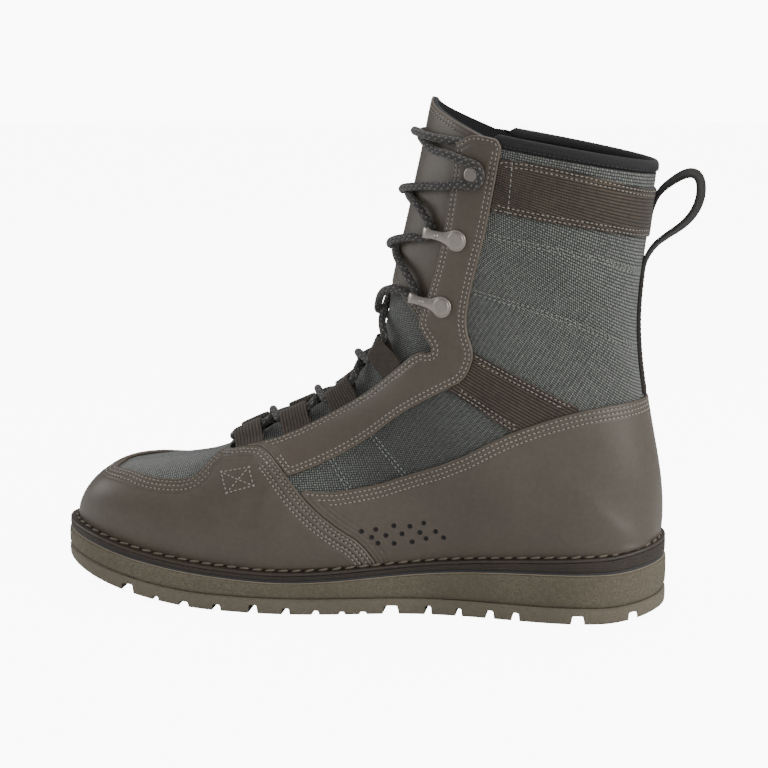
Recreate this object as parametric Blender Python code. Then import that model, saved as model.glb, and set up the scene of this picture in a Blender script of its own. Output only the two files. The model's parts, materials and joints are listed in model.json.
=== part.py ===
"""Wading boot for the right foot: a stitched-down upper on a layered sole, with a laced throat.

X runs along the foot (toe at -X, heel at +X), the medial side is at -Y, the lateral side at +Y.
The origin is on the floor under the heel. Units are metres.
The upper, its leathers, straps, tongue and lace all come from one surface, the form of the last.
"""
import math
from functools import lru_cache

import bmesh
import bpy
import numpy as np

# Driving sizes of the sole
SOLE_LENGTH = 0.313
BALL_WIDTH = 0.112
HEEL_BACK = 0.040
TOE_SPRING = 0.0160
SPRING_RUN = 0.089
HEEL_LIFT = 0.0030
HEEL_LIFT_RUN = 0.028
LUG_LAYER = 0.008
WEDGE_HEIGHT = 0.017
RUBBER_LAYER = 0.0016
LEATHER_LAYER = 0.0070
WELT_THICKNESS = 0.0016
WELT_TOE = 0.0075
WELT_HEEL = 0.0050
LAYER_STEP = 0.0006
LUG_REACH = 0.020
SPINE_SLOT = (0.003, 0.002)

# Driving sizes of the upper
SHAFT_RISE = 0.181
WALL = 0.0022
LEATHER = 0.0016
WEBBING = 0.0010
FIT_GAP = 0.0003
INSOLE_GAP = 0.0012
FOOT_GAP = 0.0004
TONGUE_GAP = 0.0009
WELT_LAP = 0.0015
INSOLE_THICKNESS = 0.003
TONGUE_THICKNESS = 0.0024
BINDING_RADIUS = 0.0023
PULL_WIDTH = 0.011
PULL_THICKNESS = 0.0018

# Driving sizes of the fittings
HOOK_DISC = 0.0053
HOOK_NECK = 0.0020
HOOK_SHEET = 0.0014
HOOK_ROLL = 0.0013
STUD_DISC = 0.0036
STUD_HEIGHT = 0.0020
LACE_RADIUS = 0.0020
LOOP_SHEET = 0.0011

MEDIAL = -1
LATERAL = 1
SIDES = {"medial": MEDIAL, "lateral": LATERAL}

# Outline of the sole: share of its length from the heel, half widths as shares of BALL_WIDTH
OUTLINE = (
    # along, medial, lateral
    (0.000, 0.000, 0.000),
    (0.006, 0.107, 0.107),
    (0.031, 0.223, 0.223),
    (0.080, 0.321, 0.321),
    (0.128, 0.357, 0.357),
    (0.192, 0.362, 0.366),
    (0.288, 0.339, 0.388),
    (0.399, 0.344, 0.446),
    (0.495, 0.402, 0.500),
    (0.607, 0.455, 0.518),
    (0.760, 0.434, 0.468),
    (0.868, 0.382, 0.376),
    (0.930, 0.312, 0.280),
    (0.975, 0.200, 0.155),
    (1.000, 0.020, -0.020),
)

# Thickness of the sole's layers along its length, as shares of LUG_LAYER, WEDGE_HEIGHT and LEATHER_LAYER
LAYERS = (
    # along, lugs, wedge, leather
    (0.000, 0.95, 1.000, 1.00),
    (0.102, 1.00, 0.985, 0.79),
    (0.203, 1.00, 0.950, 0.61),
    (0.352, 1.00, 0.790, 0.41),
    (0.486, 1.00, 0.565, 0.34),
    (0.614, 1.00, 0.460, 0.31),
    (0.722, 1.00, 0.540, 0.31),
    (0.812, 1.00, 0.580, 0.31),
    (0.884, 1.00, 0.580, 0.31),
    (0.923, 0.97, 0.585, 0.31),
    (0.972, 0.78, 0.570, 0.31),
    (1.000, 0.55, 0.550, 0.31),
)

# Notches between the lugs: middle and width as shares of SOLE_LENGTH, depth as a share of LUG_LAYER
NOTCHES = (
    # along, width, depth
    (0.047, 0.016, 0.52),
    (0.131, 0.025, 0.57),
    (0.229, 0.016, 0.55),
    (0.270, 0.017, 0.55),
    (0.320, 0.013, 0.52),
    (0.369, 0.014, 0.59),
    (0.428, 0.031, 0.57),
    (0.471, 0.016, 0.20),
    (0.504, 0.014, 0.22),
    (0.545, 0.016, 0.31),
    (0.592, 0.017, 0.44),
    (0.645, 0.019, 0.58),
    (0.706, 0.019, 0.43),
    (0.762, 0.022, 0.35),
    (0.811, 0.014, 0.30),
    (0.862, 0.028, 0.56),
)
SPINE_SLOTS = (0.19, 0.34, 0.51, 0.66, 0.80)

# Sections of the last from the toe tip round to the collar. A section runs from the feather line or
# the line of the back up to the ridge over the toes and instep. Lengths are shares of the upper's
# length, rises shares of SHAFT_RISE, widths shares of BALL_WIDTH.
LAST = (
    # along, rise, ridge along, ridge rise, ridge side, low reach, low place, high reach, high place
    (1.0000, 0.000, 1.0000, 0.000, -0.054, 0.000, 0.60, 0.000, 1.00),
    (0.9884, 0.000, 0.9905, 0.030, -0.054, 0.013, 0.65, 0.089, 1.00),
    (0.9715, 0.000, 0.9758, 0.076, -0.054, 0.022, 0.68, 0.161, 1.02),
    (0.9430, 0.000, 0.9530, 0.118, -0.049, 0.031, 0.70, 0.214, 1.03),
    (0.9010, 0.000, 0.9180, 0.147, -0.045, 0.040, 0.72, 0.259, 1.04),
    (0.8289, 0.000, 0.8552, 0.1645, -0.040, 0.054, 0.68, 0.277, 1.04),
    (0.7357, 0.000, 0.7691, 0.1905, -0.036, 0.058, 0.65, 0.259, 1.03),
    (0.6222, 0.000, 0.6657, 0.268, -0.027, 0.054, 0.58, 0.232, 1.02),
    (0.4894, 0.000, 0.5624, 0.353, -0.018, 0.058, 0.52, 0.232, 1.00),
    (0.3496, 0.000, 0.4894, 0.4665, -0.009, 0.071, 0.42, 0.286, 0.98),
    (0.1996, 0.000, 0.4611, 0.5715, 0.000, 0.071, 0.30, 0.357, 0.98),
    (0.0765, 0.000, 0.4525, 0.649, 0.000, 0.085, 0.18, 0.402, 0.99),
    (0.0203, 0.000, 0.4483, 0.6875, 0.000, 0.232, 0.06, 0.420, 1.00),
    (0.0000, 0.000, 0.4442, 0.7205, 0.000, 0.475, 0.00, 0.400, 1.00),
    (-0.0007, 0.135, 0.4376, 0.770, 0.000, 0.440, 0.00, 0.425, 1.00),
    (0.0166, 0.301, 0.4276, 0.8365, 0.000, 0.402, 0.00, 0.446, 1.00),
    (0.0350, 0.483, 0.4177, 0.908, 0.000, 0.393, 0.00, 0.455, 1.00),
    (0.0399, 0.654, 0.4094, 0.9745, 0.000, 0.420, 0.00, 0.464, 1.00),
    (0.0283, 0.853, 0.3992, 1.052, 0.000, 0.455, 0.00, 0.464, 1.00),
    (0.0176, 1.000, 0.3921, 1.1125, 0.000, 0.482, 0.00, 0.464, 1.00),
)
HEEL_ROW = 13
TOP_ROW = len(LAST) - 1
STATIONS = (0, 0.5, 1, 1.5, 2, 3, 4, 5, 5.5, 6, 6.5, 7, 7.5, 8, 8.5, 9, 10, 11, 11.5, 12, 12.5,
            13, 14, 15, 16, 17, 18, 19)
COLUMNS = (0, 0.09, 0.2, 0.33, 0.46, 0.58, 0.69, 0.79, 0.89, 1)

# Side outlines of the openings and overlays: share of the upper's length from the heel, share of SHAFT_RISE
THROAT = ((0.323, 1.16), (0.329, 1.058), (0.339, 0.931), (0.353, 0.793), (0.372, 0.682), (0.392, 0.600),
          (0.385, 0.572), (0.366, 0.533), (0.368, 0.520), (0.392, 0.522), (0.436, 0.456), (0.482, 0.390),
          (0.548, 0.323), (0.612, 0.268), (0.682, 0.231), (0.722, 0.213), (0.740, 0.235),
          (0.770, 0.270), (0.770, 1.40), (0.323, 1.40))
VAMP_TOP = ((1.050, 0.160), (0.943, 0.160), (0.938, 0.143), (0.883, 0.147), (0.852, 0.139), (0.816, 0.136),
            (0.778, 0.141), (0.762, 0.158), (0.749, 0.185), (0.729, 0.212), (0.679, 0.229), (0.649, 0.233))
VAMP_REAR = ((0.614, 0.185), (0.591, 0.141), (0.554, 0.080), (0.515, 0.030), (0.482, -0.003),
             (0.453, -0.070), (0.450, -0.140))
VAMP_FOOT = ((1.05, -0.140),)
QUARTER_TOP = ((0.592, 0.138), (0.535, 0.130), (0.496, 0.141), (0.452, 0.157), (0.415, 0.180),
               (0.332, 0.230), (0.249, 0.307), (0.203, 0.340), (0.156, 0.367), (0.109, 0.384),
               (0.063, 0.392), (-0.050, 0.396))
QUARTER_FOOT = ((-0.050, -0.140), (0.60, -0.140))
EYESTAY = ((0.322, 1.085), (0.306, 1.106), (0.283, 1.105), (0.252, 1.092), (0.259, 1.025), (0.270, 0.925),
           (0.280, 0.842), (0.296, 0.743), (0.308, 0.649), (0.309, 0.588), (0.296, 0.533), (0.298, 0.500),
           (0.313, 0.450), (0.339, 0.428), (0.392, 0.378), (0.418, 0.350), (0.475, 0.273), (0.538, 0.212),
           (0.602, 0.168), (0.649, 0.150), (0.709, 0.230), (0.608, 0.420), (0.456, 0.640), (0.405, 1.05))
STRAP = ((0.319, 0.560), (0.296, 0.530), (0.252, 0.494), (0.207, 0.456), (0.156, 0.411), (0.117, 0.380),
         (0.152, 0.330), (0.228, 0.318), (0.252, 0.340), (0.299, 0.389), (0.355, 0.440))
BAND = ((0.289, 1.052), (0.259, 1.046), (0.193, 1.035), (0.103, 0.999), (0.020, 0.958), (-0.080, 0.915),
        (-0.080, 0.790), (0.030, 0.831), (0.099, 0.859), (0.193, 0.886), (0.267, 0.908), (0.304, 0.914))

# Pull loop: middle line of the webbing, outwards from the back line as shares of PULL_REACH, and rise
PULL_REACH = 0.020
PULL_LOOP = ((0.0, 0.890), (0.0, 0.935), (0.24, 0.972), (0.62, 1.000), (0.92, 0.992), (1.04, 0.950),
             (0.97, 0.902), (0.72, 0.862), (0.40, 0.834), (0.13, 0.806))
BACK_STRAP_RISES = (0.775, 0.654, 0.483, 0.402)

# Fittings on each eyestay: disc and tip by section and share of it
HOOKS = {"lower": ((14.09, 0.71), (13.34, 0.805)), "upper": ((16.26, 0.68), (15.85, 0.785))}
STUD_PLACE = (18.04, 0.66)

# The tongue's edge as a share of the sections, and how far its tip stands above the last one, in sections
TONGUE_EDGE = 0.58
TONGUE_TIP = 1.35
BINDING_START = 0.555

# Lace loops: first and last section, share of the section at the throat's edge and at the fold
LOOPS = (
    # first, last, root, fold
    (6.60, 7.02, 0.780, 0.950),
    (7.35, 7.78, 0.742, 0.915),
    (8.17, 8.68, 0.750, 0.890),
    (9.38, 10.05, 0.730, 0.870),
)
# Ends of the lace's crossings at the hooks and studs: section, share
HOOK_ENDS = ((12.95, 0.865), (14.00, 0.850), (15.30, 0.850), (16.45, 0.840))
STUD_ENDS = ((17.30, 0.800), (18.30, 0.800))
LACE_TUCK = (18.85, 0.790)


def spline(knots, values, at):
    """Natural cubic spline through rows of values, read at one or many places."""
    knots = np.asarray(knots, float)
    values = np.asarray(values, float)
    count = len(knots)
    steps = np.diff(knots)
    system = np.eye(count)
    turn = np.zeros_like(values)
    for i in range(1, count - 1):
        system[i, i - 1:i + 2] = steps[i - 1], 2 * (steps[i - 1] + steps[i]), steps[i]
        turn[i] = 6 * ((values[i + 1] - values[i]) / steps[i] - (values[i] - values[i - 1]) / steps[i - 1])
    bend = np.linalg.solve(system, turn)
    at = np.asarray(at, float)
    i = np.clip(np.searchsorted(knots, at, "right") - 1, 0, count - 2)
    shape = at.shape + (1,) * (values.ndim - 1)
    step = steps[i].reshape(shape)
    far = ((at - knots[i]) / steps[i]).reshape(shape)
    near = 1 - far
    curl = (near ** 3 - near) * bend[i] + (far ** 3 - far) * bend[i + 1]
    return near * values[i] + far * values[i + 1] + curl * step ** 2 / 6


def ease(value):
    """Smooth step from 0 to 1."""
    value = np.clip(value, 0, 1)
    return value * value * (3 - 2 * value)


@lru_cache
def sole_outline():
    """The sole's edge as a closed ring of points seen from above, from the heel along the medial side."""
    rows = np.array(OUTLINE)
    x = HEEL_BACK - rows[:, 0] * SOLE_LENGTH
    medial = np.stack([x, -rows[:, 1] * BALL_WIDTH], 1)
    lateral = np.stack([x, rows[:, 2] * BALL_WIDTH], 1)
    ring = np.concatenate([medial, lateral[-2:0:-1]])
    count = len(ring)
    lap = 4
    points = np.take(ring, range(-lap, count + lap + 1), axis=0, mode="wrap")
    knots = np.concatenate([[0], np.cumsum(np.hypot(*np.diff(points, axis=0).T))])
    return spline(knots, points, np.linspace(knots[lap], knots[lap + count], 241)[:-1])


def welt_margin(x):
    """Width of the welt that shows beyond the upper at a place along the sole."""
    share = (HEEL_BACK - x) / SOLE_LENGTH
    return WELT_HEEL + (WELT_TOE - WELT_HEEL) * np.clip(share, 0, 1)


def inset_outline(margin, extra=0.0):
    """The sole's edge moved inwards by the welt's margin times a factor, and by an extra amount."""
    ring = sole_outline()
    along = np.roll(ring, -1, 0) - np.roll(ring, 1, 0)
    inwards = np.stack([-along[:, 1], along[:, 0]], 1) / np.hypot(*along.T)[:, None]
    inwards *= np.sign(np.sum(inwards * (ring.mean(0) - ring), 1))[:, None]
    return ring + inwards * (margin * welt_margin(ring[:, 0]) + extra)[:, None]


def half_width(ring, x, side):
    """Y of one side of a ring at places along it."""
    heel = int(np.argmax(ring[:, 0]))
    ring = np.roll(ring, -heel, 0)
    toe = int(np.argmin(ring[:, 0]))
    chain = ring[:toe + 1] if side == MEDIAL else np.concatenate([ring[toe:], ring[:1]])[::-1]
    return np.interp(x, chain[::-1, 0], chain[::-1, 1])


def ground(x):
    """Height of the sole's underside: flat in the middle, sprung up at the toe, a little at the heel."""
    toe = HEEL_BACK - SOLE_LENGTH
    spring = np.clip((toe + SPRING_RUN - x) / SPRING_RUN, 0, None) ** 1.8
    heel = np.clip((x - HEEL_BACK + HEEL_LIFT_RUN) / HEEL_LIFT_RUN, 0, None) ** 1.5
    return TOE_SPRING * spring + HEEL_LIFT * heel


def layer_top(x, layer):
    """Height of the top of a layer: 0 lugs, 1 wedge, 2 rubber, 3 leather, 4 welt."""
    shares = np.array(LAYERS)
    along = (HEEL_BACK - np.asarray(x, float)) / SOLE_LENGTH
    lugs, wedge, leather = np.moveaxis(spline(shares[:, 0], shares[:, 1:], along), -1, 0)
    heights = (lugs * LUG_LAYER, wedge * WEDGE_HEIGHT, RUBBER_LAYER, leather * LEATHER_LAYER, WELT_THICKNESS)
    return ground(np.asarray(x, float)) + sum(heights[:layer + 1])


def sole_top(x):
    """Height of the welt's upper face, on which the upper stands."""
    return layer_top(x, 4)


def heel_x():
    """Place of the upper's back at the feather line."""
    return HEEL_BACK - WELT_HEEL


def upper_length():
    """Length of the upper at the feather line."""
    return SOLE_LENGTH - WELT_HEEL - WELT_TOE


def side_point(along, rise):
    """Side view place from a share of the upper's length and a share of SHAFT_RISE."""
    return heel_x() - along * upper_length(), float(sole_top(heel_x())) + rise * SHAFT_RISE


@lru_cache
def last_rows():
    """Sections of the last in metres: foot, ridge and reaches."""
    feather = inset_outline(1.0)
    rows = []
    for number, line in enumerate(LAST):
        along, rise, ridge_along, ridge_rise, side, low, low_place, high, high_place = line
        foot_x, foot_z = side_point(along, rise)
        ridge_x, ridge_z = side_point(ridge_along, ridge_rise)
        medial = lateral = 0.0
        if number < HEEL_ROW:
            medial = float(half_width(feather, foot_x, MEDIAL))
            lateral = float(half_width(feather, foot_x, LATERAL))
        if number <= HEEL_ROW:
            foot_z = float(sole_top(foot_x)) + FOOT_GAP
        if number == 0:
            medial = lateral = side * BALL_WIDTH
            ridge_x, ridge_z = foot_x, foot_z
        rows.append((foot_x, foot_z, medial, lateral, ridge_x, ridge_z, side * BALL_WIDTH,
                     low * BALL_WIDTH, low_place, high * BALL_WIDTH, high_place))
    return np.array(rows)


def form(row, share, side):
    """Point of the last's surface at a section and a share of its way from foot to ridge."""
    table = last_rows()
    values = spline(np.arange(len(table)), table, row)
    foot_x, foot_z, medial, lateral, ridge_x, ridge_z, ridge_y, low, low_place, high, high_place = \
        np.moveaxis(values, -1, 0)
    foot_y = medial if side == MEDIAL else lateral
    foot = np.stack([foot_x, foot_y, foot_z], -1)
    ridge = np.stack([ridge_x, ridge_y, ridge_z], -1)
    climb = (ridge - foot) * (1, 0, 1)
    low_point = foot + climb * low_place[..., None]
    low_point[..., 1] = foot_y + side * low
    high_point = foot + climb * high_place[..., None]
    high_point[..., 1] = ridge_y + side * high
    t = np.asarray(share, float)[..., None]
    u = 1 - t
    return u ** 3 * foot + 3 * u * u * t * low_point + 3 * u * t * t * high_point + t ** 3 * ridge


def outward(row, share, side):
    """Unit normal of the last's surface, shared by both sides where they meet."""
    row = np.asarray(row, float)
    share = np.asarray(share, float)
    row = np.where(row < 0.3, 0.3, row)
    step = 0.01
    total = 0
    for each in (MEDIAL, LATERAL):
        place = np.clip(share, step, 1 - step)
        along = form(row + step, place, each) - form(row - step, place, each)
        across = form(row, place + step, each) - form(row, place - step, each)
        normal = np.cross(along, across) * -each
        normal /= np.linalg.norm(normal, axis=-1, keepdims=True)
        seam = (share >= 1) | ((share <= 0) & (row >= HEEL_ROW)) | (row <= 0.3)
        total = total + normal * np.where(seam, 1.0, float(each == side))[..., None]
    return total / np.linalg.norm(total, axis=-1, keepdims=True)


def on_form(row, share, side, lift=0.0):
    """Point at a distance outside the last's surface."""
    lift = np.asarray(lift, float)[..., None]
    return form(row, share, side) + outward(row, share, side) * lift


def new_object(name, mesh, collection="wading_boot"):
    """Link an object to a collection."""
    obj = bpy.data.objects.new(name, mesh)
    bpy.data.collections[collection].objects.link(obj)
    return obj


def mesh_object(name, points, faces, collection="wading_boot"):
    """Object from the points and faces of a loft, welded and with its faces outwards."""
    mesh = bpy.data.meshes.new(name)
    mesh.from_pydata([tuple(point) for point in points], [], faces)
    shell = bmesh.new()
    shell.from_mesh(mesh)
    bmesh.ops.recalc_face_normals(shell, faces=shell.faces)
    if shell.calc_volume(signed=True) < 0:
        bmesh.ops.reverse_faces(shell, faces=shell.faces)
    shell.to_mesh(mesh)
    shell.free()
    return new_object(name, mesh, collection)


def loft(name, rings, closed=False):
    """Closed solid through rings of equally many points, with flat ends unless it closes on itself."""
    rings = np.asarray(rings)
    count, size = rings.shape[:2]
    faces = []
    for i in range(count if closed else count - 1):
        for j in range(size):
            a, b = i * size + j, i * size + (j + 1) % size
            c, d = (a + size) % (count * size), (b + size) % (count * size)
            faces += [(a, b, d), (a, d, c)]
    if not closed:
        faces.append(tuple(range(size)))
        faces.append(tuple(range((count - 1) * size, count * size)))
    return mesh_object(name, rings.reshape(-1, 3), faces)


def plate(name, inset, extra, low, high, stations=29):
    """Layer of the sole between two heights, inside the outline."""
    ring = inset_outline(inset, extra)
    heel, toe = ring[:, 0].max(), ring[:, 0].min()
    turn = np.linspace(0, math.pi, stations)
    x = (heel + toe) / 2 + (heel - toe) / 2 * np.cos(turn) * 0.9985
    medial = half_width(ring, x, MEDIAL)
    lateral = half_width(ring, x, LATERAL)
    bottom, top = low(x), high(x)
    rings = [[(px, m, b), (px, l, b), (px, l, t), (px, m, t)]
             for px, m, l, b, t in zip(x, medial, lateral, bottom, top)]
    return loft(name, rings)


def slab(name, low, high, rows, columns, sides=(MEDIAL, LATERAL), warp=None):
    """Closed wall between two distances from the last, which may vary with section and share."""
    places = {}
    for side in sides:
        for i, row in enumerate(rows):
            for j, share in enumerate(columns):
                places[side, i, j] = slab_key(side, row, share, i, j)
    keys = list(dict.fromkeys(places.values()))
    number = {key: n for n, key in enumerate(keys)}
    first = {}
    for place, key in places.items():
        first.setdefault(key, place)
    points = []
    for lift in (high, low):
        for key in keys:
            side, i, j = first[key]
            row, share = rows[i], columns[j]
            if warp:
                row = warp(row, share)
            height = lift(row, share) if callable(lift) else lift
            point = on_form(row, share, side, height)
            if share == 0 and row <= HEEL_ROW:
                point[2] = float(sole_top(point[0])) + FOOT_GAP
            points.append(point)
    outer = []
    for side in sides:
        for i in range(len(rows) - 1):
            for j in range(len(columns) - 1):
                a, b, c, d = (number[places[side, i + p, j + q]] for p, q in ((0, 0), (0, 1), (1, 1), (1, 0)))
                outer += [t for t in ((a, b, c), (a, c, d)) if len(set(t)) == 3]
    return mesh_object(name, points, walled(outer, len(keys)))


def slab_key(side, row, share, i, j):
    """Name of a vertex, the same for both sides where they meet."""
    if row == 0:
        return "toe tip"
    if share == 1 or (share == 0 and row >= HEEL_ROW):
        return 0, i, j
    return side, i, j


def walled(outer, count):
    """Outer triangles with their inner copies and the rim between them."""
    edges = {}
    for face in outer:
        for a, b in zip(face, face[1:] + face[:1]):
            edges.setdefault(frozenset((a, b)), []).append((a, b))
    inner = [tuple(v + count for v in reversed(face)) for face in outer]
    rim = []
    for pairs in edges.values():
        if len(pairs) == 1:
            a, b = pairs[0]
            rim += [(b, a, a + count), (b, a + count, b + count)]
    return outer + inner + rim


def prism(name, outline, depth=0.2, middle=0.0):
    """Solid cutter with a side view outline, running across the boot."""
    curve = bpy.data.curves.new(name, "CURVE")
    curve.dimensions = "2D"
    curve.fill_mode = "BOTH"
    curve.extrude = depth / 2
    line = curve.splines.new("POLY")
    line.points.add(len(outline) - 1)
    for point, (x, z) in zip(line.points, outline):
        point.co = x, z, 0, 1
    line.use_cyclic_u = True
    guide = new_object(name + "_line", curve, "cutters")
    guide.rotation_euler = math.pi / 2, 0, 0
    guide.location = 0, middle, 0
    return curve_to_mesh(guide, name, "cutters")


def curve_to_mesh(guide, name, collection):
    """Mesh object of a curve, with its caps welded and its place kept in the mesh."""
    bpy.context.view_layer.update()
    graph = bpy.context.evaluated_depsgraph_get()
    mesh = bpy.data.meshes.new_from_object(guide.evaluated_get(graph))
    mesh.transform(guide.matrix_world)
    bpy.data.objects.remove(guide)
    shell = bmesh.new()
    shell.from_mesh(mesh)
    bmesh.ops.remove_doubles(shell, verts=shell.verts, dist=1e-6)
    bmesh.ops.recalc_face_normals(shell, faces=shell.faces)
    shell.to_mesh(mesh)
    shell.free()
    return new_object(name, mesh, collection)


def boolean(obj, cutter, operation):
    """Live cut or intersection with a cutter."""
    step = obj.modifiers.new(cutter.name, "BOOLEAN")
    step.operation = operation
    step.solver = "EXACT"
    step.object = cutter
    cutter.hide_render = True
    cutter.display_type = "WIRE"


def grown(points, gap):
    """Closed side view outline moved outwards by a gap."""
    points = np.array(points)
    ahead = np.roll(points, -1, 0) - points
    behind = points - np.roll(points, 1, 0)
    ahead /= np.linalg.norm(ahead, axis=1)[:, None]
    behind /= np.linalg.norm(behind, axis=1)[:, None]
    area = np.sum(points[:, 0] * np.roll(points[:, 1], -1) - np.roll(points[:, 0], -1) * points[:, 1])
    turn = math.copysign(1, area)
    normals = np.stack([ahead[:, 1] + behind[:, 1], -ahead[:, 0] - behind[:, 0]], 1) * turn
    normals /= np.maximum(np.sum(normals ** 2, 1), 1.0)[:, None] / 2
    return points + normals * gap


def side_outline(*runs):
    """Side view points in metres of runs of shares."""
    return [side_point(along, rise) for run in runs for along, rise in run]


def vamp_outline():
    """Side view outline of the vamp leather."""
    return side_outline(VAMP_TOP, VAMP_REAR, VAMP_FOOT)


def quarter_outline():
    """Side view outline of the quarter leather, which reaches under the vamp."""
    return side_outline(QUARTER_TOP, QUARTER_FOOT)


def hue(red, green, blue):
    """Linear colour from display values of 0 to 255."""
    def linear(value):
        value /= 255
        return value / 12.92 if value <= 0.04045 else ((value + 0.055) / 1.055) ** 2.4
    return linear(red), linear(green), linear(blue), 1.0


FINISHES = {
    "leather": (hue(98, 88, 79), 0.62, 0.0),
    "fabric": (hue(98, 104, 98), 0.85, 0.0),
    "webbing": (hue(74, 64, 53), 0.85, 0.0),
    "black_trim": (hue(34, 34, 34), 0.80, 0.0),
    "lace_cord": (hue(62, 59, 56), 0.80, 0.0),
    "hook_metal": (hue(158, 150, 142), 0.38, 0.85),
    "lug_rubber": (hue(104, 97, 83), 0.75, 0.0),
    "wedge_foam": (hue(112, 105, 90), 0.85, 0.0),
    "dark_rubber": (hue(42, 42, 42), 0.70, 0.0),
    "edge_leather": (hue(78, 66, 54), 0.75, 0.0),
    "insole_felt": (hue(52, 52, 50), 0.90, 0.0),
}


def finish(obj, name):
    """Give an object its own material, and smooth shading with crisp edges."""
    colour, roughness, metallic = FINISHES[name]
    material = bpy.data.materials.new(f"{name}_{obj.name}")
    material.use_nodes = True
    shader = material.node_tree.nodes["Principled BSDF"]
    shader.inputs["Base Color"].default_value = colour
    shader.inputs["Roughness"].default_value = roughness
    shader.inputs["Metallic"].default_value = metallic
    obj.data.materials.clear()
    obj.data.materials.append(material)
    if obj.type == "MESH":
        obj.data.shade_smooth()
        obj.data.set_sharp_from_angle(angle=math.radians(35))
    return obj


def box_mesh(shell, low, high, taper=1.0):
    """Add a box to a mesh, its top narrowed along X by a factor."""
    made = bmesh.ops.create_cube(shell, size=1)["verts"]
    low, high = np.array(low), np.array(high)
    for vertex in made:
        corner = np.array(vertex.co) + 0.5
        place = low + corner * (high - low)
        if corner[2] > 0.5:
            middle = (low[0] + high[0]) / 2
            place[0] = middle + (place[0] - middle) * taper
        vertex.co = place


def make_outsole():
    """Lug layer, notched along both edges and slotted down the middle."""
    outsole = plate("outsole", 0, 0, ground, lambda x: layer_top(x, 0) - FIT_GAP)
    shell = bmesh.new()
    for along, width, depth in NOTCHES:
        x = HEEL_BACK - along * SOLE_LENGTH
        half = width * SOLE_LENGTH / 2
        floor = float(ground(x))
        for side in SIDES.values():
            edge = side * BALL_WIDTH
            inner = float(half_width(sole_outline(), x, side)) - side * LUG_REACH
            low, high = sorted((edge, inner))
            box_mesh(shell, (x - half, low, -LUG_LAYER), (x + half, high, floor + depth * LUG_LAYER), 0.55)
    slot_width, slot_depth = SPINE_SLOT
    for along in SPINE_SLOTS:
        x = HEEL_BACK - along * SOLE_LENGTH
        half = 0.10 * BALL_WIDTH
        box_mesh(shell, (x - slot_width / 2, -half, -LUG_LAYER),
                 (x + slot_width / 2, half, float(ground(x)) + slot_depth), 0.8)
    mesh = bpy.data.meshes.new("notches")
    shell.to_mesh(mesh)
    shell.free()
    boolean(outsole, new_object("notches", mesh, "cutters"), "DIFFERENCE")
    return finish(outsole, "lug_rubber")


def make_sole_layers():
    """Wedge, rubber layer and leather midsole, each a step in from the one below."""
    layers = (("wedge", 0, "wedge_foam"), ("rubber_midsole", 1, "dark_rubber"),
              ("leather_midsole", 2, "edge_leather"))
    for name, below, look in layers:
        layer = plate(name, 0, LAYER_STEP * (below + 1) / 2,
                      lambda x, n=below: layer_top(x, n),
                      lambda x, n=below: layer_top(x, n + 1) - FIT_GAP)
        finish(layer, look)


def make_welt():
    """Leather flange on the midsole, stitched down round the upper."""
    share = (HEEL_BACK - sole_outline()[:, 0]) / SOLE_LENGTH
    picked = [n for n in range(len(share)) if n % 8 == 0 or n % 2 == 0 and not 0.1 < share[n] < 0.87]
    outer = inset_outline(0, LAYER_STEP)[picked]
    inner = inset_outline(1.0, WALL + WELT_LAP)[picked]
    rings = []
    for (ox, oy), (ix, iy) in zip(outer, inner):
        rings.append([(ox, oy, layer_top(ox, 3)), (ox, oy, sole_top(ox)),
                      (ix, iy, sole_top(ix)), (ix, iy, layer_top(ix, 3))])
    finish(loft("welt", rings, closed=True), "edge_leather")


def make_insole():
    """Insole on the midsole, inside the welt."""
    insole = plate("insole", 1.0, WALL + WELT_LAP + INSOLE_GAP, lambda x: layer_top(x, 3),
                   lambda x: layer_top(x, 3) + INSOLE_THICKNESS, 20)
    finish(insole, "insole_felt")


def make_upper():
    """Hollow fabric upper, open at the collar, the throat and underneath."""
    upper = slab("upper", -WALL, 0.0, STATIONS, COLUMNS)
    boolean(upper, prism("throat", side_outline(THROAT)), "DIFFERENCE")
    finish(upper, "fabric")


def tongue_lift(row, share):
    """Outer face of the tongue: under the upper's wall at its edges, out in the throat at its middle."""
    below = -(WALL + TONGUE_GAP)
    rise = ease((share - 0.80) / 0.20) * ease((row - 6.5) / 0.7)
    return below * (1 - rise)


def make_tongue():
    """Tongue, from under the toes to a tip above the collar."""
    rows = [row for row in STATIONS if row >= 5.5]
    columns = [share for share in COLUMNS if share >= TONGUE_EDGE]

    def raised(row, share):
        """Row drawn up towards the tip, most at the top of the ridge."""
        pull = ease((row - HEEL_ROW) / (TOP_ROW - HEEL_ROW)) * (share - TONGUE_EDGE) / (1 - TONGUE_EDGE)
        return row + TONGUE_TIP * pull

    tongue = slab("tongue", lambda row, share: tongue_lift(row, share) - TONGUE_THICKNESS, tongue_lift,
                  rows, columns, warp=raised)
    finish(tongue, "fabric")


def overlay(name, outline, thickness, rows, columns, others, look, sides=(MEDIAL, LATERAL)):
    """Panel over the upper inside a side view outline, cut back where other panels lie."""
    piece = slab(name, FIT_GAP, FIT_GAP + thickness, rows, columns, sides)
    boolean(piece, prism(name + "_outline", outline), "INTERSECT")
    for cutter in others:
        boolean(piece, cutter, "DIFFERENCE")
    return finish(piece, look)


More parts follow.
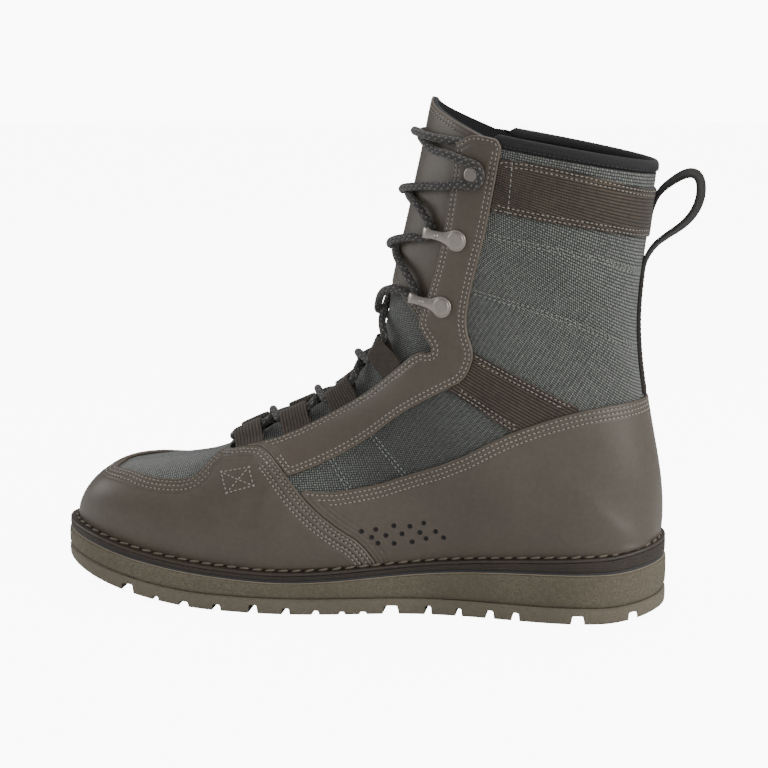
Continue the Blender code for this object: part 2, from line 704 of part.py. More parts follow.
def make_overlays():
    """Leathers, straps and collar band, cut from one wall outside the upper."""
    throat = bpy.data.objects["throat"]
    vamp = prism("vamp_clear", grown(vamp_outline(), FIT_GAP))
    quarter = prism("quarter_clear", grown(quarter_outline(), FIT_GAP))
    eyestay = prism("eyestay_clear", grown(side_outline(EYESTAY), FIT_GAP))
    rows = [row for row in STATIONS if row <= 9.5]
    overlay("vamp_leather", vamp_outline(), LEATHER, rows, COLUMNS, [throat], "leather")
    rows = [row for row in STATIONS if 6.5 <= row <= 17]
    columns = [share for share in COLUMNS if share < 0.6]
    overlay("quarter_leather", quarter_outline(), LEATHER, rows, columns, [vamp], "leather")
    rows = [row for row in STATIONS if row >= 6] + [TOP_ROW + 0.5]
    columns = [share for share in COLUMNS if share > 0.3]
    for name, side in SIDES.items():
        overlay(f"eyestay_{name}", side_outline(EYESTAY), LEATHER, rows, columns, [throat, vamp],
                "leather", (side,))
    rows = [row for row in STATIONS if 9 <= row <= 15]
    columns = [share for share in COLUMNS if 0.05 < share < 0.8]
    for name, side in SIDES.items():
        overlay(f"strap_{name}", side_outline(STRAP), WEBBING, rows, columns, [eyestay, quarter],
                "webbing", (side,))
    rows = [row for row in STATIONS if row >= 16]
    columns = [share for share in COLUMNS if share < 0.8]
    overlay("collar_band", side_outline(BAND), WEBBING, rows, columns, [eyestay], "webbing")


def tube(name, points, radius, resolution=2):
    """Round bar through points, as a curve with filled caps."""
    curve = bpy.data.curves.new(name, "CURVE")
    curve.dimensions = "3D"
    curve.bevel_depth = radius
    curve.bevel_resolution = resolution
    curve.use_fill_caps = True
    line = curve.splines.new("POLY")
    line.points.add(len(points) - 1)
    for point, place in zip(line.points, points):
        point.co = *place, 1
    return new_object(name, curve)


def make_binding():
    """Rolled binding on the collar's edge, from one eyestay round the back to the other."""
    shares = np.linspace(BINDING_START, 0, 9)
    way = [(share, MEDIAL) for share in shares] + [(share, LATERAL) for share in shares[-2::-1]]
    points = []
    for share, side in way:
        edge = on_form(TOP_ROW, share, side, -WALL / 2)
        climb = on_form(TOP_ROW + 0.2, share, side, -WALL / 2) - edge
        climb /= np.linalg.norm(climb)
        points.append(edge + climb * (BINDING_RADIUS + FIT_GAP))
    finish(tube("collar_binding", points, BINDING_RADIUS), "black_trim")


def back_x(rise):
    """Place of the upper's back at a rise above the heel's seat."""
    table = np.array(LAST)[HEEL_ROW:, :2]
    return side_point(float(np.interp(rise, table[:, 1], table[:, 0])), rise)[0]


def ribbon(middle, thickness):
    """Side view outline of a band of one thickness along a middle line."""
    middle = np.array(middle)
    along = np.gradient(middle, axis=0)
    across = np.stack([-along[:, 1], along[:, 0]], 1) / np.linalg.norm(along, axis=1)[:, None]
    return np.concatenate([middle + across * thickness / 2, (middle - across * thickness / 2)[::-1]])


def make_back_strap():
    """Webbing up the back that leaves it as the pull loop."""
    below = FIT_GAP * 2 + PULL_THICKNESS / 2
    over_band = below + WEBBING + FIT_GAP
    loop = [(back_x(rise) + over_band + out * PULL_REACH, side_point(0, rise)[1]) for out, rise in PULL_LOOP]
    loop = spline(np.arange(len(loop)), loop, np.linspace(0, len(loop) - 1, 22))
    straight = [(back_x(rise) + below, side_point(0, rise)[1]) for rise in BACK_STRAP_RISES]
    outline = ribbon(np.concatenate([loop, straight]), PULL_THICKNESS)
    strap = prism("back_strap", outline, PULL_WIDTH)
    bpy.data.collections["cutters"].objects.unlink(strap)
    bpy.data.collections["wading_boot"].objects.link(strap)
    finish(strap, "webbing")


def frame_at(place, tip, side, lift):
    """Seat of a fitting: its middle, the ways along and across it, the normal, and the tip's distance."""
    seat = on_form(*place, side, lift)
    normal = outward(*place, side)
    ahead = on_form(*tip, side, lift) - seat
    ahead -= normal * np.dot(ahead, normal)
    reach = float(np.linalg.norm(ahead))
    ahead /= reach
    return seat, ahead, np.cross(normal, ahead), normal, reach


def placed(outline, seat, ahead, across, normal, low, high):
    """Two rings of an outline in a fitting's own plane, at two heights over its seat."""
    return [[seat + ahead * a + across * b + normal * height for a, b in outline] for height in (low, high)]


def make_hook(name, place, tip, side):
    """Lace hook: a disc with an arm that narrows to a rolled tip."""
    seat, ahead, across, normal, reach = frame_at(place, tip, side, FIT_GAP * 2 + LEATHER)
    turn = np.linspace(math.radians(40), math.radians(320), 15)
    outline = [(HOOK_DISC * math.cos(a), HOOK_DISC * math.sin(a)) for a in turn]
    outline += [(reach - 0.004, -HOOK_NECK * 1.1), (reach, -HOOK_NECK * 1.4)]
    outline += [(reach, HOOK_NECK * 1.4), (reach - 0.004, HOOK_NECK * 1.1)]
    hook = loft(name, placed(outline, seat, ahead, across, normal, 0, HOOK_SHEET))
    turn = np.linspace(0, 2 * math.pi, 9)[:-1]
    middle = seat + ahead * reach + normal * HOOK_SHEET / 2
    roll = []
    for b in (-HOOK_NECK * 1.5, HOOK_NECK * 1.5):
        roll.append([middle + across * b + (ahead * math.cos(a) + normal * math.sin(a)) * HOOK_ROLL
                     for a in turn])
    roll = loft(name + "_roll", roll)
    bpy.data.collections["wading_boot"].objects.unlink(roll)
    bpy.data.collections["cutters"].objects.link(roll)
    boolean(hook, roll, "UNION")
    finish(hook, "hook_metal")


def make_stud(name, place, side):
    """Domed stud at the top of the eyestay, which the lace goes round."""
    seat, ahead, across, normal, _ = frame_at(place, (place[0], place[1] + 0.1), side, FIT_GAP * 2 + LEATHER)
    turn = np.linspace(0, 2 * math.pi, 13)[:-1]
    rings = []
    for height, radius in ((0, 0.8), (0.45, 0.8), (0.5, 1.0), (0.85, 1.0), (1.0, 0.85)):
        rings.append([seat + normal * height * STUD_HEIGHT
                      + (ahead * math.cos(a) + across * math.sin(a)) * STUD_DISC * radius for a in turn])
    finish(loft(name, rings), "hook_metal")


def loop_profile():
    """Section of a lace loop: webbing from its root round the lace and back, as share out and height."""
    inner = LACE_RADIUS + FIT_GAP
    outer = inner + LOOP_SHEET
    middle = FIT_GAP + outer
    turn = np.radians((-90, -45, 0, 45, 90, 125))
    ring = [(math.cos(a), math.sin(a)) for a in turn]
    out = [(c * outer, middle + s * outer) for c, s in ring]
    back = [(c * inner, middle + s * inner) for c, s in reversed(ring)]
    return out, back, outer


def across_speed(row, root, fold, side=MEDIAL):
    """Metres along a section for each unit of share, between two shares."""
    return float(np.linalg.norm(form(row, fold, side) - form(row, root, side))) / (fold - root)


def make_loop(name, first, last, root, fold, side):
    """Folded webbing loop at the throat's edge that carries the lace."""
    out, back, outer = loop_profile()
    rings = []
    for row in (first, (first + last) / 2, last):
        speed = across_speed(row, root, fold, side)
        centre = fold - outer / speed
        profile = [(root, FIT_GAP)] + [(centre + a / speed, h) for a, h in out]
        profile += [(root, FIT_GAP * 2 + LOOP_SHEET * 2)]
        profile += [(root, FIT_GAP * 2 + LOOP_SHEET)] + [(centre + a / speed, h) for a, h in back]
        profile += [(root, FIT_GAP + LOOP_SHEET)]
        rings.append([on_form(row, share, side, height) for share, height in profile])
    finish(loft(name, rings), "webbing")


def lace_ends():
    """Places where the lace leaves and meets each fitting, from the toes up: section, share, height."""
    outer = loop_profile()[2]
    high = outer + FIT_GAP
    clear = LACE_RADIUS + FIT_GAP / 2
    ends = []
    for first, last, root, fold in LOOPS:
        row = (first + last) / 2
        share = fold - outer / across_speed(row, root, fold)
        length = float(np.linalg.norm(form(last, share, MEDIAL) - form(first, share, MEDIAL)))
        gap = clear * (last - first) / length
        ends.append(((first - gap, share, high), (last + gap, share, high)))
    low = LACE_RADIUS + FIT_GAP * 2
    for entry, leave in zip(HOOK_ENDS[0::2], HOOK_ENDS[1::2]):
        ends.append(((*entry, low), (*leave, low)))
    entry, leave = STUD_ENDS
    ends.append(((*entry, low), (*leave, low)))
    return ends


def make_lace():
    """Crossings of the lace over the tongue, each two bars joined where they cross."""
    ends = lace_ends()
    crossings = {"toe": [(ends[0][0], ends[0][0], 0.0)]}
    for number, (lower, upper) in enumerate(zip(ends, ends[1:])):
        crossings[str(number + 1)] = [(lower[1], upper[0], 0.0), (upper[0], lower[1], LACE_RADIUS)]
    last, tuck = ends[-1][1], (*LACE_TUCK, ends[-1][1][2])
    crossings["collar"] = [(last, tuck, 0.0), (tuck, last, LACE_RADIUS)]
    for name, bars in crossings.items():
        solids = []
        for number, (start, end, rise) in enumerate(bars):
            home = "cutters" if number else "wading_boot"
            guide = tube("guide", lace_path(start, end, rise), LACE_RADIUS, 1)
            solids.append(curve_to_mesh(guide, f"lace_{name}" + "_over" * number, home))
        for bar in solids[1:]:
            boolean(solids[0], bar, "UNION")
        finish(solids[0], "lace_cord")


def lace_path(start, end, rise):
    """Points of a crossing from the medial to the lateral side, over the tongue's ridge."""
    row_a, share_a, height_a = start
    row_b, share_b, height_b = end
    points = []
    for step in (-1, -0.55, 0, 0.55, 1):
        mix = (step + 1) / 2
        side = MEDIAL if step < 0 else LATERAL
        root = share_a if step < 0 else share_b
        share = 1 - (1 - root) * abs(step)
        row = row_a + (row_b - row_a) * mix
        height = (height_a + (height_b - height_a) * mix) + rise * (1 - step * step)
        points.append(on_form(row, share, side, height))
    return points


def clear_scene():
    """Remove what the scene holds and make the two collections."""
    for obj in list(bpy.data.objects):
        bpy.data.objects.remove(obj)
    for name in ("wading_boot", "cutters"):
        collection = bpy.data.collections.new(name)
        bpy.context.scene.collection.children.link(collection)
    bpy.data.collections["cutters"].hide_render = True


def main():
    """Build the boot."""
    clear_scene()
    make_outsole()
    make_sole_layers()
    make_welt()
    make_insole()
    make_upper()
    make_tongue()
    make_overlays()
    make_binding()
    make_back_strap()
    for side_name, side in SIDES.items():
        for hook_name, (place, tip) in HOOKS.items():
            make_hook(f"hook_{side_name}_{hook_name}", place, tip, side)
        make_stud(f"stud_{side_name}", STUD_PLACE, side)
        for number, row in enumerate(LOOPS):
            make_loop(f"loop_{side_name}_{number + 1}", *row, side)
    make_lace()


main()
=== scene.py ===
"""Looks of a wading boot for the right foot: leather, woven fabric, webbing, lace and a layered sole.

X runs along the foot (toe at -X), the medial side is at -Y, +Z is up. Units are metres.
Every piece of the upper is a sheet taken from one surface, the form of the last, cut to its outline.
"""
import json
import logging
import math
from collections.abc import Callable, Iterable, Sequence
from dataclasses import dataclass, field
from enum import Enum
from functools import cached_property

import bmesh
import bpy
import numpy as np
from mathutils import Matrix, Vector
from mathutils.kdtree import KDTree

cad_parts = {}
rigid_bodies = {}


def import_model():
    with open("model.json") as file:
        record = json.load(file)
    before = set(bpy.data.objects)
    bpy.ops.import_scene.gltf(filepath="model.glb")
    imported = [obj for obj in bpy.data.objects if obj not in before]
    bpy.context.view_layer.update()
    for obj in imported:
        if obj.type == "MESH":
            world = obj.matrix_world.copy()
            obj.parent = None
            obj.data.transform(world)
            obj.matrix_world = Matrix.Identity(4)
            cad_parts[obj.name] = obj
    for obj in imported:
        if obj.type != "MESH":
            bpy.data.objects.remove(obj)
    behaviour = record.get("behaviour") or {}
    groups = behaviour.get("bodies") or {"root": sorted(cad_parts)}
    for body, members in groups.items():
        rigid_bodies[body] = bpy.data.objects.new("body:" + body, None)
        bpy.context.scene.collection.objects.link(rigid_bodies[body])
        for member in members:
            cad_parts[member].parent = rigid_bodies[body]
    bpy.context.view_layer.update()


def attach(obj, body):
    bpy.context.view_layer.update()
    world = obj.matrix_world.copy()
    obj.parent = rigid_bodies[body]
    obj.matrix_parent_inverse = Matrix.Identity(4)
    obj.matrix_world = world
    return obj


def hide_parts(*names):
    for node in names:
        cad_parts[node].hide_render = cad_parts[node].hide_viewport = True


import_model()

log = logging.getLogger("boot")
MM = 0.001
Array = np.ndarray
Material = bpy.types.Material
MEDIAL = -1
LATERAL = 1
SIDES = {"medial": MEDIAL, "lateral": LATERAL}

# Outline of the sole: share of its length from the heel, half widths as shares of the ball's width
OUTLINE = (
    # along, medial, lateral
    (0.000, 0.000, 0.000),
    (0.006, 0.107, 0.107),
    (0.031, 0.223, 0.223),
    (0.080, 0.321, 0.321),
    (0.128, 0.357, 0.357),
    (0.192, 0.362, 0.366),
    (0.288, 0.339, 0.388),
    (0.399, 0.344, 0.446),
    (0.495, 0.402, 0.500),
    (0.607, 0.455, 0.518),
    (0.760, 0.434, 0.468),
    (0.868, 0.382, 0.376),
    (0.930, 0.312, 0.280),
    (0.975, 0.200, 0.155),
    (1.000, 0.020, -0.020),
)

# Thickness of the sole's layers along its length, as shares of their largest thickness
LAYERS = (
    # along, lugs, wedge, leather
    (0.000, 0.95, 1.000, 1.00),
    (0.102, 1.00, 0.985, 0.79),
    (0.203, 1.00, 0.950, 0.61),
    (0.352, 1.00, 0.790, 0.41),
    (0.486, 1.00, 0.565, 0.34),
    (0.614, 1.00, 0.460, 0.31),
    (0.722, 1.00, 0.540, 0.31),
    (0.812, 1.00, 0.580, 0.31),
    (0.884, 1.00, 0.580, 0.31),
    (0.923, 0.97, 0.585, 0.31),
    (0.972, 0.78, 0.570, 0.31),
    (1.000, 0.55, 0.550, 0.31),
)

# Notches between the lugs: middle and width as shares of the sole's length, depth as a share of the lugs
NOTCHES = (
    # along, width, depth
    (0.047, 0.016, 0.52),
    (0.131, 0.025, 0.57),
    (0.229, 0.016, 0.55),
    (0.270, 0.017, 0.55),
    (0.320, 0.013, 0.52),
    (0.369, 0.014, 0.59),
    (0.428, 0.031, 0.57),
    (0.471, 0.016, 0.20),
    (0.504, 0.014, 0.22),
    (0.545, 0.016, 0.31),
    (0.592, 0.017, 0.44),
    (0.645, 0.019, 0.58),
    (0.706, 0.019, 0.43),
    (0.762, 0.022, 0.35),
    (0.811, 0.014, 0.30),
    (0.862, 0.028, 0.56),
)
SPINE_SLOTS = (0.19, 0.34, 0.51, 0.66, 0.80)

# Sections of the last from the toe tip round to the collar, from the feather line up to the ridge
LAST_ROWS = (
    # along, rise, ridge along, ridge rise, ridge side, low reach, low place, high reach, high place
    (1.0000, 0.000, 1.0000, 0.000, -0.054, 0.000, 0.60, 0.000, 1.00),
    (0.9884, 0.000, 0.9905, 0.030, -0.054, 0.013, 0.65, 0.089, 1.00),
    (0.9715, 0.000, 0.9758, 0.076, -0.054, 0.022, 0.68, 0.161, 1.02),
    (0.9430, 0.000, 0.9530, 0.118, -0.049, 0.031, 0.70, 0.214, 1.03),
    (0.9010, 0.000, 0.9180, 0.147, -0.045, 0.040, 0.72, 0.259, 1.04),
    (0.8289, 0.000, 0.8552, 0.1645, -0.040, 0.054, 0.68, 0.277, 1.04),
    (0.7357, 0.000, 0.7691, 0.1905, -0.036, 0.058, 0.65, 0.259, 1.03),
    (0.6222, 0.000, 0.6657, 0.268, -0.027, 0.054, 0.58, 0.232, 1.02),
    (0.4894, 0.000, 0.5624, 0.353, -0.018, 0.058, 0.52, 0.232, 1.00),
    (0.3496, 0.000, 0.4894, 0.4665, -0.009, 0.071, 0.42, 0.286, 0.98),
    (0.1996, 0.000, 0.4611, 0.5715, 0.000, 0.071, 0.30, 0.357, 0.98),
    (0.0765, 0.000, 0.4525, 0.649, 0.000, 0.085, 0.18, 0.402, 0.99),
    (0.0203, 0.000, 0.4483, 0.6875, 0.000, 0.232, 0.06, 0.420, 1.00),
    (0.0000, 0.000, 0.4442, 0.7205, 0.000, 0.475, 0.00, 0.400, 1.00),
    (-0.0007, 0.135, 0.4376, 0.770, 0.000, 0.440, 0.00, 0.425, 1.00),
    (0.0166, 0.301, 0.4276, 0.8365, 0.000, 0.402, 0.00, 0.446, 1.00),
    (0.0350, 0.483, 0.4177, 0.908, 0.000, 0.393, 0.00, 0.455, 1.00),
    (0.0399, 0.654, 0.4094, 0.9745, 0.000, 0.420, 0.00, 0.464, 1.00),
    (0.0283, 0.853, 0.3992, 1.052, 0.000, 0.455, 0.00, 0.464, 1.00),
    (0.0176, 1.000, 0.3921, 1.1125, 0.000, 0.482, 0.00, 0.464, 1.00),
)
HEEL_ROW = 13
TOP_ROW = len(LAST_ROWS) - 1

# Side outlines: share of the upper's length from the heel, share of the shaft's rise
THROAT = ((0.323, 1.16), (0.329, 1.058), (0.339, 0.931), (0.353, 0.793), (0.372, 0.682), (0.392, 0.600),
          (0.385, 0.572), (0.366, 0.533), (0.368, 0.520), (0.392, 0.522), (0.436, 0.456), (0.482, 0.390),
          (0.548, 0.323), (0.612, 0.268), (0.682, 0.231), (0.722, 0.213), (0.740, 0.235),
          (0.770, 0.270), (0.770, 1.40), (0.323, 1.40))
VAMP_TOP = ((1.050, 0.160), (0.943, 0.160), (0.938, 0.143), (0.883, 0.147), (0.852, 0.139), (0.816, 0.136),
            (0.778, 0.141), (0.762, 0.158), (0.749, 0.185), (0.729, 0.212), (0.679, 0.229), (0.649, 0.233))
VAMP_REAR = ((0.614, 0.185), (0.591, 0.141), (0.554, 0.080), (0.515, 0.030), (0.482, -0.003),
             (0.453, -0.070), (0.450, -0.140))
VAMP_FOOT = ((1.05, -0.140),)
QUARTER_TOP = ((0.592, 0.138), (0.535, 0.130), (0.496, 0.141), (0.452, 0.157), (0.415, 0.180),
               (0.332, 0.230), (0.249, 0.307), (0.203, 0.340), (0.156, 0.367), (0.109, 0.384),
               (0.063, 0.392), (-0.050, 0.396))
QUARTER_FOOT = ((-0.050, -0.140), (0.60, -0.140))
EYESTAY_TOP = ((0.322, 1.085), (0.306, 1.106), (0.283, 1.105), (0.252, 1.092))
EYESTAY_REAR = ((0.259, 1.025), (0.270, 0.925), (0.280, 0.842), (0.296, 0.743), (0.308, 0.649),
                (0.309, 0.588), (0.296, 0.533), (0.298, 0.500), (0.313, 0.450), (0.339, 0.428),
                (0.392, 0.378), (0.418, 0.350), (0.475, 0.273), (0.538, 0.212), (0.602, 0.168),
                (0.649, 0.150))
EYESTAY_FRONT = ((0.709, 0.230), (0.608, 0.420), (0.456, 0.640), (0.405, 1.05))
STRAP_TOP = ((0.319, 0.560), (0.296, 0.530), (0.252, 0.494), (0.207, 0.456), (0.156, 0.411), (0.117, 0.380))
STRAP_FOOT = ((0.152, 0.330), (0.228, 0.318), (0.252, 0.340), (0.299, 0.389), (0.355, 0.440))
BAND_TOP = ((0.289, 1.052), (0.259, 1.046), (0.193, 1.035), (0.103, 0.999), (0.020, 0.958), (-0.080, 0.915))
BAND_FOOT = ((-0.080, 0.790), (0.030, 0.831), (0.099, 0.859), (0.193, 0.886), (0.267, 0.908), (0.304, 0.914))

# Sewn lines of the fabric in side view
QUILT_ROWS = (
    ((0.273, 0.845), (0.210, 0.823), (0.146, 0.801), (0.083, 0.773), (0.040, 0.740), (0.000, 0.715)),
    ((0.296, 0.691), (0.206, 0.652), (0.130, 0.608), (0.040, 0.536), (0.000, 0.505)),
)
SHAFT_SEAM = ((0.236, 1.044), (0.243, 0.906))
SIDE_SEAMS = (((0.532, 0.216), (0.502, 0.144)), ((0.466, 0.287), (0.412, 0.188)))
X_BOX = ((0.722, 0.166), (0.669, 0.188), (0.656, 0.138), (0.706, 0.111))
DRAINS = ((-109, 42), (-102, 43), (-93, 45), (-85, 45), (-78, 47), (-104, 39), (-97, 40), (-89, 41),
          (-80, 42), (-72, 43), (-101, 36), (-93, 36), (-84, 37), (-77, 39), (-68, 40))

# Edges in section: share of the way inwards, or millimetres for the footbed, and share of the thickness
WELT_EDGE = ((0.06, 0.0), (0.02, 0.12), (0.0, 0.35), (0.0, 0.65), (0.02, 0.88), (0.05, 0.97), (0.12, 1.0))
WELT_FOOT = ((1.0, 0.9), (1.0, 0.0), (0.5, 0.0))
FOOTBED_EDGE = ((14, 0), (1, 0), (0.2, 0.1), (0, 0.4), (0.1, 0.8), (0.5, 1.0), (2, 1.0), (6, 0.93), (14, 0.9))

# Ripples of the cloth and creases behind the toes in side view, in metres
FOLDS = (
    # middle, way, half length, width, height
    ((-0.010, 0.176), (1.0, 0.10), 0.020, 0.0040, 0.35 * MM),
    ((-0.030, 0.172), (1.0, -0.18), 0.018, 0.0045, -0.40 * MM),
    ((0.004, 0.160), (1.0, -0.30), 0.016, 0.0050, 0.35 * MM),
    ((-0.020, 0.142), (1.0, -0.30), 0.022, 0.0050, -0.45 * MM),
    ((-0.036, 0.136), (1.0, -0.22), 0.014, 0.0040, 0.40 * MM),
    ((0.006, 0.134), (1.0, -0.45), 0.014, 0.0045, 0.35 * MM),
    ((-0.095, 0.068), (0.9, 0.30), 0.020, 0.0050, -0.35 * MM),
    ((-0.070, 0.094), (0.8, 0.55), 0.018, 0.0060, 0.35 * MM),
)
TOE_CREASES = (
    ((-0.150, 0.060), (0.45, 1.0), 0.012, 0.0035, -0.30 * MM),
    ((-0.163, 0.055), (0.30, 1.0), 0.013, 0.0040, -0.35 * MM),
    ((-0.140, 0.046), (0.70, 1.0), 0.010, 0.0035, -0.25 * MM),
)

# Pull loop: middle line of the webbing, outwards from the back line and rise, and the strap below it
PULL_LOOP = ((0.0, 0.890), (0.0, 0.935), (0.24, 0.972), (0.62, 1.000), (0.92, 0.992), (1.04, 0.950),
             (0.97, 0.902), (0.72, 0.862), (0.40, 0.834), (0.13, 0.806))
TRIPLE_ROWS = (1.8 * MM, 4.0 * MM, 6.2 * MM)
FACING_ROWS = (1.6 * MM, 3.6 * MM)
WEBBING_ROWS = (1.2 * MM, 3.2 * MM)
TONGUE_ROWS = (1.7 * MM, 3.6 * MM)
BACK_STRAP_RISES = (0.775, 0.654, 0.483, 0.402)

# Fittings on each eyestay: disc and tip by section and share of it
HOOKS = {"lower": ((14.09, 0.71), (13.34, 0.805)), "upper": ((16.26, 0.68), (15.85, 0.785))}
STUD_PLACE = (18.04, 0.66)
HOOK_PLAN = ((0.0, 0.90), (0.04, 0.99), (0.5, 1.0), (0.85, 0.99), (1.0, 0.95), (1.04, 0.90), (1.00, 0.86),
             (1.04, 0.82), (1.30, 0.79), (1.40, 0.74), (1.43, 0.60), (1.44, 0.35), (1.44, 0.10))
BEAD_PLAN = ((-0.2, 1.25), (0.1, 1.2), (0.4, 0.95), (0.58, 0.5), (0.62, 0.15))
STUD_PLAN = ((0.0, 0.75), (0.4, 0.72), (0.48, 0.95), (0.56, 1.0), (0.8, 1.0), (0.95, 0.96), (1.0, 0.88),
             (1.02, 0.70), (1.02, 0.40), (1.02, 0.12))
LOOPS = (
    # first, last, root, fold
    (6.60, 7.02, 0.780, 0.950),
    (7.35, 7.78, 0.742, 0.915),
    (8.17, 8.68, 0.750, 0.890),
    (9.38, 10.05, 0.730, 0.870),
)
HOOK_ENDS = ((12.95, 0.865), (14.00, 0.850), (15.30, 0.850), (16.45, 0.840))
STUD_ENDS = ((17.30, 0.800), (18.30, 0.800))
LACE_TUCK = (18.85, 0.790)
# Further places of the lace: section, share and height in millimetres
STUD_WAYS = (((17.30, 0.800, 2.2), (17.38, 0.765, 3.6)), ((18.42, 0.755, 3.9), (18.34, 0.795, 3.0)))
HIDDEN_END = ((18.87, 0.775, 1.4), (18.90, 0.74, -0.3), (18.92, 0.70, -1.2))


class Spline:
    """Natural cubic spline through rows of values."""

    def __init__(self, knots: Sequence[float], values: Sequence) -> None:
        """Solve the spline's bends.

        Args:
            knots: Places of the rows.
            values: A value or a row of values at each place.
        """
        self.knots = np.asarray(knots, float)
        self.values = np.asarray(values, float)
        count = len(self.knots)
        steps = np.diff(self.knots)
        slopes = np.diff(self.values, axis=0) / steps.reshape(-1, *[1] * (self.values.ndim - 1))
        system = np.eye(count)
        turn = np.zeros_like(self.values)
        for i in range(1, count - 1):
            system[i, i - 1:i + 2] = steps[i - 1], 2 * (steps[i - 1] + steps[i]), steps[i]
            turn[i] = 6 * (slopes[i] - slopes[i - 1])
        self.bend = np.linalg.solve(system, turn)

    def __call__(self, at: Array | float) -> Array:
        """Values at one or many places.

        Args:
            at: Places along the knots.

        Returns:
            An array of the places' shape, with the values' own axis last.
        """
        at = np.asarray(at, float)
        i = np.clip(np.searchsorted(self.knots, at, "right") - 1, 0, len(self.knots) - 2)
        step = self.knots[i + 1] - self.knots[i]
        shape = at.shape + (1,) * (self.values.ndim - 1)
        far = ((at - self.knots[i]) / step).reshape(shape)
        step = step.reshape(shape)
        near = 1 - far
        curl = (near ** 3 - near) * self.bend[i] + (far ** 3 - far) * self.bend[i + 1]
        return near * self.values[i] + far * self.values[i + 1] + curl * step ** 2 / 6


def ease(value: Array | float) -> Array | float:
    """Smooth step from 0 to 1."""
    value = np.clip(value, 0, 1)
    return value * value * (3 - 2 * value)


def run_length(line: Array) -> Array:
    """Length of a line up to each of its points."""
    return np.concatenate([[0], np.cumsum(np.linalg.norm(np.diff(line, axis=0), axis=1))])


def unit(vectors: Array) -> Array:
    """Vectors of the same directions with length 1."""
    return vectors / np.linalg.norm(vectors, axis=-1, keepdims=True)


def round_turns(count: int) -> Array:
    """Angles of evenly spaced places round a circle."""
    return np.linspace(0, 2 * math.pi, count + 1)[:-1]


def smoothed(points: Sequence, rounds: int = 2, closed: bool = False) -> Array:
    """Line with its corners cut, so that it runs in soft curves.

    Args:
        points: Corners of the line.
        rounds: How often each corner is cut.
        closed: Whether the line runs back to its start.

    Returns:
        The points of the softer line.
    """
    line = np.asarray(points, float)
    for _ in range(rounds):
        ahead = np.roll(line, -1, 0) if closed else line[1:]
        here = line if closed else line[:-1]
        cut = np.stack([here * 0.75 + ahead * 0.25, here * 0.25 + ahead * 0.75], 1)
        cut = cut.reshape(-1, line.shape[1])
        line = cut if closed else np.concatenate([line[:1], cut[1:-1], line[-1:]])
    return line


def resampled(line: Array, step: float) -> Array:
    """Points at even distances along a line.

    Args:
        line: Points of the line.
        step: Distance between the new points, about.

    Returns:
        The new points, with both ends kept.
    """
    line = np.asarray(line, float)
    length = run_length(line)
    count = max(int(round(length[-1] / step)), 1) + 1
    at = np.linspace(0, length[-1], count)
    return np.stack([np.interp(at, length, column) for column in line.T], 1)


def line_distance(points: Array, line: Array, closed: bool = False) -> Array:
    """Distance of places in a plane from a line.

    Args:
        points: Places, one a row.
        line: Points of the line.
        closed: Whether the line runs back to its start.

    Returns:
        A distance for each place.
    """
    start = line if closed else line[:-1]
    way = (np.roll(line, -1, 0) if closed else line[1:]) - start
    best = np.full(len(points), np.inf)
    for origin, step in zip(start, way):
        size = float(step @ step)
        if size == 0:
            continue
        share = np.clip((points - origin) @ step / size, 0, 1)
        best = np.minimum(best, np.linalg.norm(points - origin - share[:, None] * step, axis=1))
    return best


def inside_depth(points: Array, outline: Array) -> Array:
    """Depth of places inside a closed outline in a plane, negative outside it."""
    inside = np.zeros(len(points), bool)
    for (x0, z0), (x1, z1) in zip(outline, np.roll(outline, -1, 0)):
        if z0 == z1:
            continue
        spans = (points[:, 1] < z0) != (points[:, 1] < z1)
        inside ^= spans & (points[:, 0] < x0 + (points[:, 1] - z0) * (x1 - x0) / (z1 - z0))
    return line_distance(points, outline, True) * np.where(inside, 1, -1)


